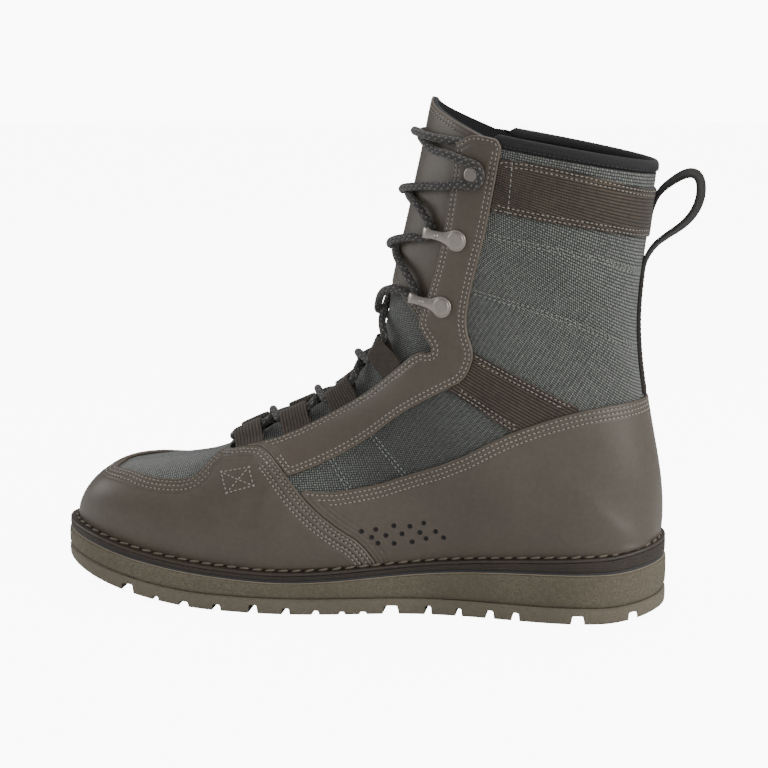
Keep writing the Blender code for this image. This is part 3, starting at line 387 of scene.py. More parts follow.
@dataclass(frozen=True)
class Last:
    """Form of foot and sole that every piece is worked out from.

    Attributes are sizes in metres, the same as those of the solids.
    """

    sole_length: float = 0.313
    ball_width: float = 0.112
    heel_back: float = 0.040
    toe_spring: float = 0.0160
    spring_run: float = 0.089
    heel_lift: float = 0.0030
    heel_lift_run: float = 0.028
    lug_layer: float = 0.008
    wedge_height: float = 0.017
    rubber_layer: float = 0.0016
    leather_layer: float = 0.0070
    welt_thickness: float = 0.0016
    welt_toe: float = 0.0075
    welt_heel: float = 0.0050
    shaft_rise: float = 0.181
    wall: float = 0.0022
    gap: float = 0.0003
    foot_gap: float = 0.0004

    @cached_property
    def outline(self) -> Array:
        """The sole's edge as a closed ring of points seen from above, from the heel along the medial side."""
        rows = np.array(OUTLINE)
        x = self.heel_back - rows[:, 0] * self.sole_length
        medial = np.stack([x, -rows[:, 1] * self.ball_width], 1)
        lateral = np.stack([x, rows[:, 2] * self.ball_width], 1)
        ring = np.concatenate([medial, lateral[-2:0:-1]])
        lap = 4
        points = np.take(ring, range(-lap, len(ring) + lap + 1), axis=0, mode="wrap")
        knots = np.concatenate([[0], np.cumsum(np.hypot(*np.diff(points, axis=0).T))])
        return Spline(knots, points)(np.linspace(knots[lap], knots[lap + len(ring)], 481)[:-1])

    def welt_margin(self, x: Array) -> Array:
        """Width of the welt that shows beyond the upper at places along the sole."""
        share = np.clip((self.heel_back - x) / self.sole_length, 0, 1)
        return self.welt_heel + (self.welt_toe - self.welt_heel) * share

    def inset(self, margin: float, extra: float = 0.0) -> Array:
        """The sole's edge moved inwards.

        Args:
            margin: Share of the welt's margin that it moves.
            extra: Further distance in metres.

        Returns:
            The ring's points.
        """
        ring = self.outline
        along = np.roll(ring, -1, 0) - np.roll(ring, 1, 0)
        inwards = np.stack([-along[:, 1], along[:, 0]], 1) / np.hypot(*along.T)[:, None]
        inwards *= np.sign(np.sum(inwards * (ring.mean(0) - ring), 1))[:, None]
        return ring + inwards * (margin * self.welt_margin(ring[:, 0]) + extra)[:, None]

    def half_width(self, ring: Array, x: Array | float, side: int) -> Array | float:
        """Y of one side of a ring at places along it."""
        ring = np.roll(ring, -int(np.argmax(ring[:, 0])), 0)
        toe = int(np.argmin(ring[:, 0]))
        chain = ring[:toe + 1] if side == MEDIAL else np.concatenate([ring[toe:], ring[:1]])[::-1]
        return np.interp(x, chain[::-1, 0], chain[::-1, 1])

    def ground(self, x: Array | float) -> Array | float:
        """Height of the sole's underside: flat in the middle, sprung up at the toe, a little at the heel."""
        toe = self.heel_back - self.sole_length
        spring = np.clip((toe + self.spring_run - x) / self.spring_run, 0, None) ** 1.8
        heel = np.clip((x - self.heel_back + self.heel_lift_run) / self.heel_lift_run, 0, None) ** 1.5
        return self.toe_spring * spring + self.heel_lift * heel

    @cached_property
    def layers(self) -> Spline:
        """Shares of the layers' thicknesses along the sole."""
        rows = np.array(LAYERS)
        return Spline(rows[:, 0], rows[:, 1:])

    def layer_top(self, x: Array | float, layer: int) -> Array | float:
        """Height of a layer's top: 0 lugs, 1 wedge, 2 rubber, 3 leather, 4 welt."""
        x = np.asarray(x, float)
        lugs, wedge, leather = np.moveaxis(self.layers((self.heel_back - x) / self.sole_length), -1, 0)
        heights = (lugs * self.lug_layer, wedge * self.wedge_height, self.rubber_layer,
                   leather * self.leather_layer, self.welt_thickness)
        return self.ground(x) + sum(heights[:layer + 1])

    @property
    def heel_x(self) -> float:
        """Place of the upper's back at the feather line."""
        return self.heel_back - self.welt_heel

    @property
    def upper_length(self) -> float:
        """Length of the upper at the feather line."""
        return self.sole_length - self.welt_heel - self.welt_toe

    def side_points(self, shares: Iterable) -> Array:
        """Side view places in metres of shares of the upper's length and the shaft's rise."""
        shares = np.array(list(shares), float)
        x = self.heel_x - shares[:, 0] * self.upper_length
        z = self.layer_top(self.heel_x, 4) + shares[:, 1] * self.shaft_rise
        return np.stack([x, z], 1)

    @cached_property
    def sections(self) -> Spline:
        """Sections of the last in metres: foot, ridge and reaches."""
        feather = self.inset(1.0)
        rows = []
        for number, line in enumerate(LAST_ROWS):
            along, rise, ridge_along, ridge_rise, side, low, low_place, high, high_place = line
            ends = self.side_points(((along, rise), (ridge_along, ridge_rise)))
            (foot_x, foot_z), (ridge_x, ridge_z) = ends
            medial = lateral = 0.0
            if number < HEEL_ROW:
                medial = self.half_width(feather, foot_x, MEDIAL)
                lateral = self.half_width(feather, foot_x, LATERAL)
            if number <= HEEL_ROW:
                foot_z = self.layer_top(foot_x, 4) + self.foot_gap
            if number == 0:
                medial = lateral = side * self.ball_width
                ridge_x, ridge_z = foot_x, foot_z
            rows.append((foot_x, foot_z, medial, lateral, ridge_x, ridge_z, side * self.ball_width,
                         low * self.ball_width, low_place, high * self.ball_width, high_place))
        return Spline(np.arange(len(rows)), rows)

    def form(self, row: Array | float, share: Array | float, side: int) -> Array:
        """Point of the last's surface.

        Args:
            row: Section, from 0 at the toe tip.
            share: Share of the section's way from foot to ridge.
            side: MEDIAL or LATERAL.

        Returns:
            The point or points.
        """
        foot_x, foot_z, medial, lateral, ridge_x, ridge_z, ridge_y, low, low_place, high, high_place = \
            np.moveaxis(self.sections(row), -1, 0)
        foot_y = medial if side == MEDIAL else lateral
        foot = np.stack([foot_x, foot_y, foot_z], -1)
        ridge = np.stack([ridge_x, ridge_y, ridge_z], -1)
        climb = (ridge - foot) * (1, 0, 1)
        low_point = foot + climb * low_place[..., None]
        low_point[..., 1] = foot_y + side * low
        high_point = foot + climb * high_place[..., None]
        high_point[..., 1] = ridge_y + side * high
        t = np.asarray(share, float)[..., None]
        u = 1 - t
        return u ** 3 * foot + 3 * u * u * t * low_point + 3 * u * t * t * high_point + t ** 3 * ridge

    def outward(self, row: Array | float, share: Array | float, side: int) -> Array:
        """Unit normal of the last's surface, shared by both sides where they meet."""
        row, share = np.broadcast_arrays(np.asarray(row, float), np.asarray(share, float))
        row = np.where(row < 0.3, 0.3, row)
        step = 0.01
        total = 0
        for each in (MEDIAL, LATERAL):
            place = np.clip(share, step, 1 - step)
            along = self.form(row + step, place, each) - self.form(row - step, place, each)
            across = self.form(row, place + step, each) - self.form(row, place - step, each)
            normal = unit(np.cross(along, across) * -each)
            seam = (share >= 1) | ((share <= 0) & (row >= HEEL_ROW)) | (row <= 0.3)
            total = total + normal * np.where(seam, 1.0, float(each == side))[..., None]
        return unit(total)

    def on_form(self, row: Array | float, share: Array | float, side: int,
                lift: Array | float = 0.0) -> Array:
        """Point at a distance outside the last's surface."""
        row, share, lift = np.broadcast_arrays(*(np.asarray(v, float) for v in (row, share, lift)))
        return self.form(row, share, side) + self.outward(row, share, side) * lift[..., None]

    @cached_property
    def net(self) -> dict[int, tuple[Array, Array, Array]]:
        """Sections, shares and side view places of a fine net on each side, for finding a place again."""
        row, share = np.meshgrid(np.linspace(0.4, TOP_ROW, 480), np.linspace(0, 1, 90), indexing="ij")
        return {side: (row.ravel(), share.ravel(), self.form(row, share, side).reshape(-1, 3)[:, ::2])
                for side in SIDES.values()}

    def find(self, places: Array, side: int, reach: float = 2.5 * MM) -> Array:
        """Sections and shares of places in side view.

        Args:
            places: X and Z of each place.
            side: MEDIAL or LATERAL.
            reach: Places further than this from the form are left out.

        Returns:
            Section and share of each place that lies on the form.
        """
        rows, shares, spots = self.net[side]
        found = []
        for place in places:
            near = int(np.argmin(np.sum((spots - place) ** 2, 1)))
            row, share = rows[near], shares[near]
            for _ in range(4):
                here = self.form(row, share, side)[::2]
                along = (self.form(row + 1e-3, share, side)[::2] - here) / 1e-3
                across = (self.form(row, share + 1e-3, side)[::2] - here) / 1e-3
                system = np.stack([along, across], 1)
                if abs(np.linalg.det(system)) < 1e-9:
                    break
                step = np.linalg.solve(system, place - here)
                row = float(np.clip(row + np.clip(step[0], -0.3, 0.3), 0.3, TOP_ROW))
                share = float(np.clip(share + np.clip(step[1], -0.05, 0.05), 0, 1))
            if np.linalg.norm(self.form(row, share, side)[::2] - place) < reach:
                found.append((row, share))
        return np.array(found).reshape(-1, 2)


LAST = Last()
POINT = slice(0, 3)
NORMAL = slice(3, 6)
UV = slice(6, 8)
ROW, SHARE, SIDE, FIELD, EDGE, LIFT = range(8, 14)
WIDTH = 14


@dataclass
class Sheet:
    """A stretch of the last's surface as triangles, with a row of values for each vertex."""

    values: Array
    faces: Array
    edge_points: Array = field(default_factory=lambda: np.zeros((0, 3)))
    tree: KDTree | None = None

    @classmethod
    def grid(cls, rows: tuple[float, float], shares: tuple[float, float], step: float,
             sides: Iterable[int] = (MEDIAL, LATERAL), warp: Callable | None = None,
             base: Callable | None = None) -> "Sheet":
        """Even grid over a stretch of the form.

        Args:
            rows: First and last section.
            shares: Lowest and highest share of the sections.
            step: Distance between the grid's points, about.
            sides: Sides that it covers.
            warp: Section drawn for a section and share, or None.
            base: Height of the sheet over the form for a section and share, or None.

        Returns:
            The sheet.
        """
        dense = np.linspace(*rows, 800)
        gauge = np.stack([LAST.form(dense, np.full(800, share), MEDIAL)
                          for share in (shares[0], 0.5, shares[1])])
        reach = np.linalg.norm(np.diff(gauge, axis=1), axis=2)
        length = np.concatenate([[0], np.cumsum(reach.max(0))])
        row_at = np.interp(np.linspace(0, length[-1], int(length[-1] / step) + 2), length, dense)
        middle = 0.5 * (rows[0] + rows[1])
        span = np.linspace(*shares, 60)
        widest = max(run_length(LAST.form(np.full(60, row), span, LATERAL))[-1]
                     for row in (rows[0], middle, rows[1], max(rows[0], min(9.0, rows[1]))))
        share_at = np.linspace(*shares, int(widest / step) + 2)
        along = np.interp(row_at, dense, np.concatenate([[0], np.cumsum(reach.mean(0))]))
        row, share = np.meshgrid(row_at, share_at, indexing="ij")
        count = row.size
        index = np.arange(count).reshape(row.shape)
        a, b, c, d = index[:-1, :-1], index[:-1, 1:], index[1:, 1:], index[1:, :-1]
        quads = np.concatenate([np.stack(three, -1).reshape(-1, 3) for three in ((a, b, c), (a, c, d))])
        values, faces = [], []
        for side in sides:
            drawn = warp(row, share) if warp else row
            lift = base(row, share) if base else np.zeros_like(row)
            block = np.zeros((count, WIDTH))
            points = LAST.form(drawn, share, side)
            normals = LAST.outward(drawn, share, side)
            block[:, POINT] = (points + normals * lift[..., None]).reshape(-1, 3)
            block[:, NORMAL] = normals.reshape(-1, 3)
            across = np.concatenate([np.zeros((len(row_at), 1)),
                                     np.cumsum(np.linalg.norm(np.diff(points, axis=1), axis=2), axis=1)], 1)
            cloth = np.stack([np.broadcast_to(along[:, None], row.shape), across * side], -1)
            block[:, UV] = cloth.reshape(-1, 2)
            block[:, ROW], block[:, SHARE], block[:, SIDE] = row.ravel(), share.ravel(), side
            faces.append((quads[:, ::-1] if side == MEDIAL else quads) + len(values) * count)
            values.append(block)
        return cls(np.concatenate(values), np.concatenate(faces)).tidied()

    def tidied(self) -> "Sheet":
        """The sheet without triangles that have no area."""
        ids = self.welded()[self.faces]
        whole = (ids[:, 0] != ids[:, 1]) & (ids[:, 1] != ids[:, 2]) & (ids[:, 2] != ids[:, 0])
        self.faces = self.faces[whole]
        return self

    def welded(self) -> Array:
        """A number for each vertex, the same for those at one place."""
        keys = np.round(self.values[:, POINT] / (0.002 * MM)).astype(np.int64)
        return np.unique(keys, axis=0, return_inverse=True)[1].ravel()

    def split(self, column: int, level: float, drop: bool = False) -> "Sheet":
        """Cut the triangles along the line where a value has a level.

        Args:
            column: The value's column.
            level: The level.
            drop: Whether what lies below the level goes.

        Returns:
            The same sheet, cut.
        """
        depth = self.values[:, column] - level
        depth[np.abs(depth) < 1e-6] = 0.0
        above = depth >= 0
        high = above[self.faces].sum(1)
        kept = [self.faces[high == 3]]
        if not drop:
            kept.append(self.faces[high == 0])
        extra = []
        for odd_above in (True, False):
            mixed = self.faces[high == (1 if odd_above else 2)]
            if not len(mixed):
                continue
            odd = np.argmax(above[mixed] == odd_above, axis=1)
            turn = (odd[:, None] + np.arange(3)) % 3
            a, b, c = np.take_along_axis(mixed, turn, 1).T
            p = self._between(a, b, depth, extra)
            q = self._between(a, c, depth, extra)
            tip = np.stack([a, p, q], 1)
            rest = np.concatenate([np.stack([p, b, c], 1), np.stack([p, c, q], 1)])
            if not drop or odd_above:
                kept.append(tip)
            if not drop or not odd_above:
                kept.append(rest)
        if extra:
            self.values = np.concatenate([self.values, *extra])
        self.faces = np.concatenate(kept)
        return self.tidied()

    def _between(self, a: Array, b: Array, depth: Array, extra: list[Array]) -> Array:
        """New vertices where edges cross the level, one for each edge."""
        low, high = np.minimum(a, b), np.maximum(a, b)
        edges, back = np.unique(np.stack([low, high], 1), axis=0, return_inverse=True)
        start, end = edges.T
        share = (depth[start] / (depth[start] - depth[end]))[:, None]
        made = self.values[start] * (1 - share) + self.values[end] * share
        first = len(self.values) + sum(len(block) for block in extra)
        extra.append(made)
        return first + back.ravel()

    def cut(self, *fields: Callable[[Array], Array]) -> "Sheet":
        """Keep what lies inside every one of some fields.

        Args:
            fields: Depth inside an outline for side view places.

        Returns:
            The same sheet, cut, with its distance from the cut edge worked out.
        """
        flat = self.values[:, [0, 2]]
        self.values[:, FIELD] = np.min([rule(flat) for rule in fields], axis=0)
        self.split(FIELD, 0.0, drop=True)
        self.measure()
        return self

    def edges(self) -> Array:
        """Each triangle's edges as pairs of vertices."""
        return np.concatenate([self.faces[:, [0, 1]], self.faces[:, [1, 2]], self.faces[:, [2, 0]]])

    def rim(self, cut_only: bool = True) -> Array:
        """Boundary edges as pairs of vertices, in the order of their triangle."""
        ids = self.welded()
        pairs = self.edges()
        keys = np.sort(ids[pairs], axis=1)
        _, back, count = np.unique(keys, axis=0, return_inverse=True, return_counts=True)
        pairs = pairs[count[back.ravel()] == 1]
        if cut_only:
            on_cut = np.abs(self.values[:, FIELD]) < 1e-6
            pairs = pairs[on_cut[pairs].all(1)]
        return pairs

    def measure(self) -> None:
        """Work out each vertex's distance from the cut edge and the edge's nearest point."""
        pairs = self.rim()
        start, end = self.values[pairs[:, 0], POINT], self.values[pairs[:, 1], POINT]
        samples = np.concatenate([start + (end - start) * share for share in (0.0, 0.25, 0.5, 0.75)])
        self.edge_points = samples
        self.tree = KDTree(len(samples))
        for number, sample in enumerate(samples):
            self.tree.insert(sample, number)
        self.tree.balance()
        self.values[:, EDGE] = [self.tree.find(point)[2] for point in self.values[:, POINT]]

    def chains(self, level: float) -> list[Array]:
        """Lines along which the distance from the cut edge has a level that the sheet was split at.

        Args:
            level: The distance.

        Returns:
            Vertex numbers along each line.
        """
        ids = self.welded()
        on_line = np.abs(self.values[:, EDGE] - level) < 1e-6
        pairs = self.edges()
        pairs = pairs[on_line[pairs].all(1)]
        stands = {int(ids[v]): int(v) for v in np.unique(pairs)}
        links: dict[int, set[int]] = {}
        for a, b in ids[pairs]:
            links.setdefault(int(a), set()).add(int(b))
            links.setdefault(int(b), set()).add(int(a))
        lines = []
        while links:
            start = next((node for node, others in links.items() if len(others) == 1), next(iter(links)))
            walk = [start]
            while links.get(walk[-1]):
                ahead = links[walk[-1]].pop()
                links[ahead].discard(walk[-1])
                walk.append(ahead)
            links = {node: others for node, others in links.items() if others}
            lines.append(np.array([stands[node] for node in walk]))
        return lines


def mesh_piece(name: str, points: Array, faces: Sequence, uv: Array | None = None,
               edge: Array | None = None, materials: Sequence[Material] = (),
               slots: Array | None = None, weld: float = 1e-6) -> bpy.types.Object:
    """Object from arrays, smooth, with its doubles merged.

    Args:
        name: The piece's name.
        points: Vertices.
        faces: Vertex numbers of each face.
        uv: A place on the cloth for each vertex, in metres, or None.
        edge: Wear of each vertex from 0 to 1, or None.
        materials: The piece's materials.
        slots: Material number of each face, or None.
        weld: Distance under which vertices are merged.

    Returns:
        The object, linked to the scene.
    """
    mesh = bpy.data.meshes.new(name)
    faces = faces.tolist() if isinstance(faces, np.ndarray) else faces
    mesh.from_pydata(np.asarray(points).tolist(), [], faces)
    if uv is not None:
        corner = np.zeros(len(mesh.loops), np.int32)
        mesh.loops.foreach_get("vertex_index", corner)
        layer = mesh.uv_layers.new(name="UVMap")
        layer.data.foreach_set("uv", (np.asarray(uv)[corner] / MM).ravel())
    if edge is not None:
        mesh.attributes.new("edge", "FLOAT", "POINT").data.foreach_set("value", np.asarray(edge, np.float32))
    for material in materials:
        mesh.materials.append(material)
    if slots is not None:
        mesh.polygons.foreach_set("material_index", np.asarray(slots, np.int32))
    shell = bmesh.new()
    shell.from_mesh(mesh)
    bmesh.ops.remove_doubles(shell, verts=shell.verts, dist=weld)
    shell.to_mesh(mesh)
    shell.free()
    mesh.shade_smooth()
    obj = bpy.data.objects.new(name, mesh)
    bpy.context.scene.collection.objects.link(obj)
    return obj


def dress(obj: bpy.types.Object, slot: str, *nodes: str) -> bpy.types.Object:
    """Attach a finished piece: it rides on the boot and stands for some of the solids.

    Args:
        obj: The piece.
        slot: Its material slot in the record; not used.
        nodes: Names of the solids that it stands for.

    Returns:
        The piece.
    """
    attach(obj, "root")
    if nodes:
        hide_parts(*nodes)
    size = len(obj.data.polygons)
    log.info("%s: %d faces, for %s", obj.name, size, ", ".join(nodes) or "no solid")
    return obj


@dataclass
class Panel:
    """A sheet of one thickness over the form, with rounded cut edges and rows of stitches.

    Attributes:
        name: The piece's name.
        sheet: The sheet, cut to its outline.
        low: Height of its foot over the form.
        high: Height of its face over the form.
        rows: Distances of the stitch rows from the edge for each named line of the outline.
        lines: The outline's named lines in side view.
        dent: Depth of the groove that a row of stitches draws.
        round_off: Radius of the cut edges.
        calm: Place along the boot behind which the face is evened out, or None.
    """

    name: str
    sheet: Sheet
    low: float
    high: float
    rows: dict[str, tuple[float, ...]] = field(default_factory=dict)
    lines: dict[str, Array] = field(default_factory=dict)
    dent: float = 0.28 * MM
    round_off: float = 0.8 * MM
    calm: float | None = None

    def levels(self) -> list[float]:
        """Every distance from the edge that has a row of stitches somewhere."""
        return sorted({level for levels in self.rows.values() for level in levels})

    def line_of(self, points: Array) -> Array:
        """Name of the outline's line nearest to each place on the edge."""
        names = list(self.lines)
        gaps = np.stack([line_distance(points[:, [0, 2]], self.lines[name]) for name in names])
        return np.array(names)[np.argmin(gaps, axis=0)]

    def shape(self, relief: Callable[[Array], Array] | None = None) -> Array:
        """Work out the sheet's heights.

        Args:
            relief: Further height for the sheet's values, or None.

        Returns:
            The outer face's points.
        """
        sheet = self.sheet
        cuts = {0.25 * self.round_off, self.round_off}
        for level in self.levels():
            cuts |= {level - 0.6 * MM, level, level + 0.6 * MM}
        for level in sorted(cuts):
            sheet.split(EDGE, level)
        edge = sheet.values[:, EDGE]
        soft = np.sqrt(np.clip(1 - (1 - np.clip(edge / self.round_off, 0, 1)) ** 2, 0, 1))
        thick = self.high - self.low
        lift = self.low + thick * (0.5 + 0.5 * soft)
        for level in self.levels():
            lift -= self.dent * np.clip(1 - np.abs(edge - level) / (0.6 * MM), 0, 1)
        if relief:
            lift += relief(sheet.values)
        sheet.values[:, LIFT] = lift
        return sheet.values[:, POINT] + sheet.values[:, NORMAL] * lift[:, None]

    def build(self, materials: Sequence[Material], relief: Callable[[Array], Array] | None = None,
              lining: float | None = None, rim: int = 0) -> bpy.types.Object:
        """Make the panel's mesh.

        Args:
            materials: Finish of the face, and of the inside where it has one.
            relief: Further height for the sheet's values, or None.
            lining: Height of the inner face over the form, or None where it lies flat at its foot.
            rim: Material number of the cut edge.

        Returns:
            The object.
        """
        sheet = self.sheet
        top = self.shape(relief)
        if self.calm is not None:
            top = self.calmed(top)
        count = len(top)
        values = sheet.values
        worn = np.clip(1 - values[:, EDGE] / (0.9 * MM), 0, 1)
        pairs = sheet.rim(cut_only=False)
        foot_height = self.low if lining is None else lining
        if relief and lining is not None:
            foot_height = foot_height + relief(values) * 0.6
        foot = values[:, POINT] + values[:, NORMAL] * np.broadcast_to(foot_height, (count,))[:, None]
        skirt = np.concatenate([np.stack([pairs[:, 1], pairs[:, 0], pairs[:, 0] + count], 1),
                                np.stack([pairs[:, 1], pairs[:, 0] + count, pairs[:, 1] + count], 1)])
        faces = [sheet.faces, skirt, sheet.faces[:, ::-1] + count]
        slots = [np.zeros(len(sheet.faces), int), np.full(len(skirt), rim),
                 np.full(len(sheet.faces), len(materials) - 1)]
        return mesh_piece(self.name, np.concatenate([top, foot]), np.concatenate(faces),
                          np.concatenate([values[:, UV], values[:, UV] + 0.5 * MM]),
                          np.concatenate([worn, np.ones(count)]), materials, np.concatenate(slots))

    def calmed(self, points: Array, rounds: int = 90) -> Array:
        """Even out the face at the heel, away from its edges, and keep its broad shape.

        Args:
            points: The face's points.
            rounds: How often each point moves towards the middle of its neighbours.

        Returns:
            The moved points.
        """
        pairs = np.unique(np.sort(self.sheet.edges(), 1), axis=0)
        first, second = pairs.T
        number = np.maximum(np.bincount(pairs.ravel(), minlength=len(points)), 1)[:, None]
        values = self.sheet.values
        hold = 0.5 * ease((values[:, EDGE] - 7 * MM) / (4 * MM))
        hold = hold * ease((points[:, 0] - self.calm) / (20 * MM))
        hold = (hold * ease((values[:, SHARE] - 0.02) / 0.05))[:, None]

        def evened(field: Array) -> Array:
            """Field drawn towards the middle of its neighbours."""
            for _ in range(rounds):
                total = np.zeros_like(field)
                np.add.at(total, first, field[second])
                np.add.at(total, second, field[first])
                field = field + (total / number - field) * hold
            return field

        moved = evened(points) - points
        return points + moved - evened(moved)

    def seams(self) -> list["Seam"]:
        """The stitch rows as lines on the panel's face, cut where the outline's line has no such row."""
        found = []
        values = self.sheet.values
        for level in self.levels():
            for chain in self.sheet.chains(level):
                base = values[chain]
                nearest = [self.sheet.tree.find(point)[1] for point in base[:, POINT]]
                names = self.line_of(self.sheet.edge_points[nearest])
                keep = np.array([level in self.rows.get(name, ()) for name in names])
                points = base[:, POINT] + base[:, NORMAL] * base[:, [LIFT]]
                for run in np.split(np.arange(len(chain)), np.flatnonzero(np.diff(keep.astype(int))) + 1):
                    if keep[run[0]] and len(run) > 3:
                        found.append(Seam(points[run], base[run][:, NORMAL]))
        return found


@dataclass
class Seam:
    """A line of stitches: points on a surface and the surface's normals."""

    points: Array
    normals: Array

    def length(self) -> float:
        """Length of the line."""
        return float(np.sum(np.linalg.norm(np.diff(self.points, axis=0), axis=1)))


def surface_seam(line: Array, side: int, lift: float | Callable[[Array], Array]) -> list[Seam]:
    """Sewn line given in side view, laid on the form.

    Args:
        line: X and Z of its points.
        side: MEDIAL or LATERAL.
        lift: Height over the form, or a rule for it from the places in side view.

    Returns:
        The seam, or nothing where it misses the form.
    """
    line = resampled(line, 1.5 * MM)
    places = LAST.find(line, side)
    if len(places) < 3:
        return []
    points = LAST.form(places[:, 0], places[:, 1], side)
    normals = LAST.outward(places[:, 0], places[:, 1], side)
    heights = lift(points[:, ::2]) if callable(lift) else np.full(len(points), lift)
    return [Seam(points + normals * heights[:, None], normals)]


REPEAT_SIZES = ("Pitch", "Length", "Width", "Height", "Shift", "Scatter", "Turn")
SCATTER_SEED = 7


class Shape(Enum):
    """What a repeat puts along its lines."""

    STITCH = "stitch"
    HOLE = "hole"


FLOAT = "NodeSocketFloat"
VECTOR = "NodeSocketVector"
COLOUR = "NodeSocketColor"


class Graph:
    """Small helper that places and joins nodes."""

    def __init__(self, tree: bpy.types.NodeTree) -> None:
        """Keep the tree that nodes go into."""
        self.tree = tree

    def node(self, kind: str, inputs: dict | None = None, **settings: object) -> bpy.types.Node:
        """Place a node.

        Args:
            kind: The node's type.
            inputs: A value or another node's socket for each input's name or number.
            settings: The node's own settings.

        Returns:
            The node.
        """
        made = self.tree.nodes.new(kind)
        for name, value in settings.items():
            setattr(made, name, value)
        for name, value in (inputs or {}).items():
            if isinstance(value, bpy.types.NodeSocket):
                self.tree.links.new(value, made.inputs[name])
            else:
                made.inputs[name].default_value = value
        return made

    def group(self, tree: bpy.types.NodeTree, **inputs: object) -> bpy.types.Node:
        """Place a shared shader group."""
        return self.node("ShaderNodeGroup", inputs, node_tree=tree)

    def math(self, operation: str, *values: object) -> bpy.types.NodeSocket:
        """Result of a Math node over numbers or sockets."""
        return self.node("ShaderNodeMath", dict(enumerate(values)), operation=operation).outputs[0]

    def mix(self, share: object, first: object, second: object) -> bpy.types.NodeSocket:
        """Colour between two colours."""
        made = self.node("ShaderNodeMix", {0: share, 6: first, 7: second}, data_type="RGBA")
        return made.outputs[2]

    def noise(self, vector: object, scale: float, detail: float = 2.0,
              rough: float = 0.5) -> bpy.types.NodeSocket:
        """Noise from 0 to 1 over places."""
        made = self.node("ShaderNodeTexNoise", {"Vector": vector, "Scale": scale, "Detail": detail,
                                                "Roughness": rough})
        return made.outputs["Fac"]

    def ramp(self, value: object, low: float, high: float, start: float = 0.0,
             end: float = 1.0) -> bpy.types.NodeSocket:
        """Value stretched from one span to another, held at its ends."""
        made = self.node("ShaderNodeMapRange", {"Value": value, "From Min": low, "From Max": high,
                                                "To Min": start, "To Max": end})
        return made.outputs["Result"]


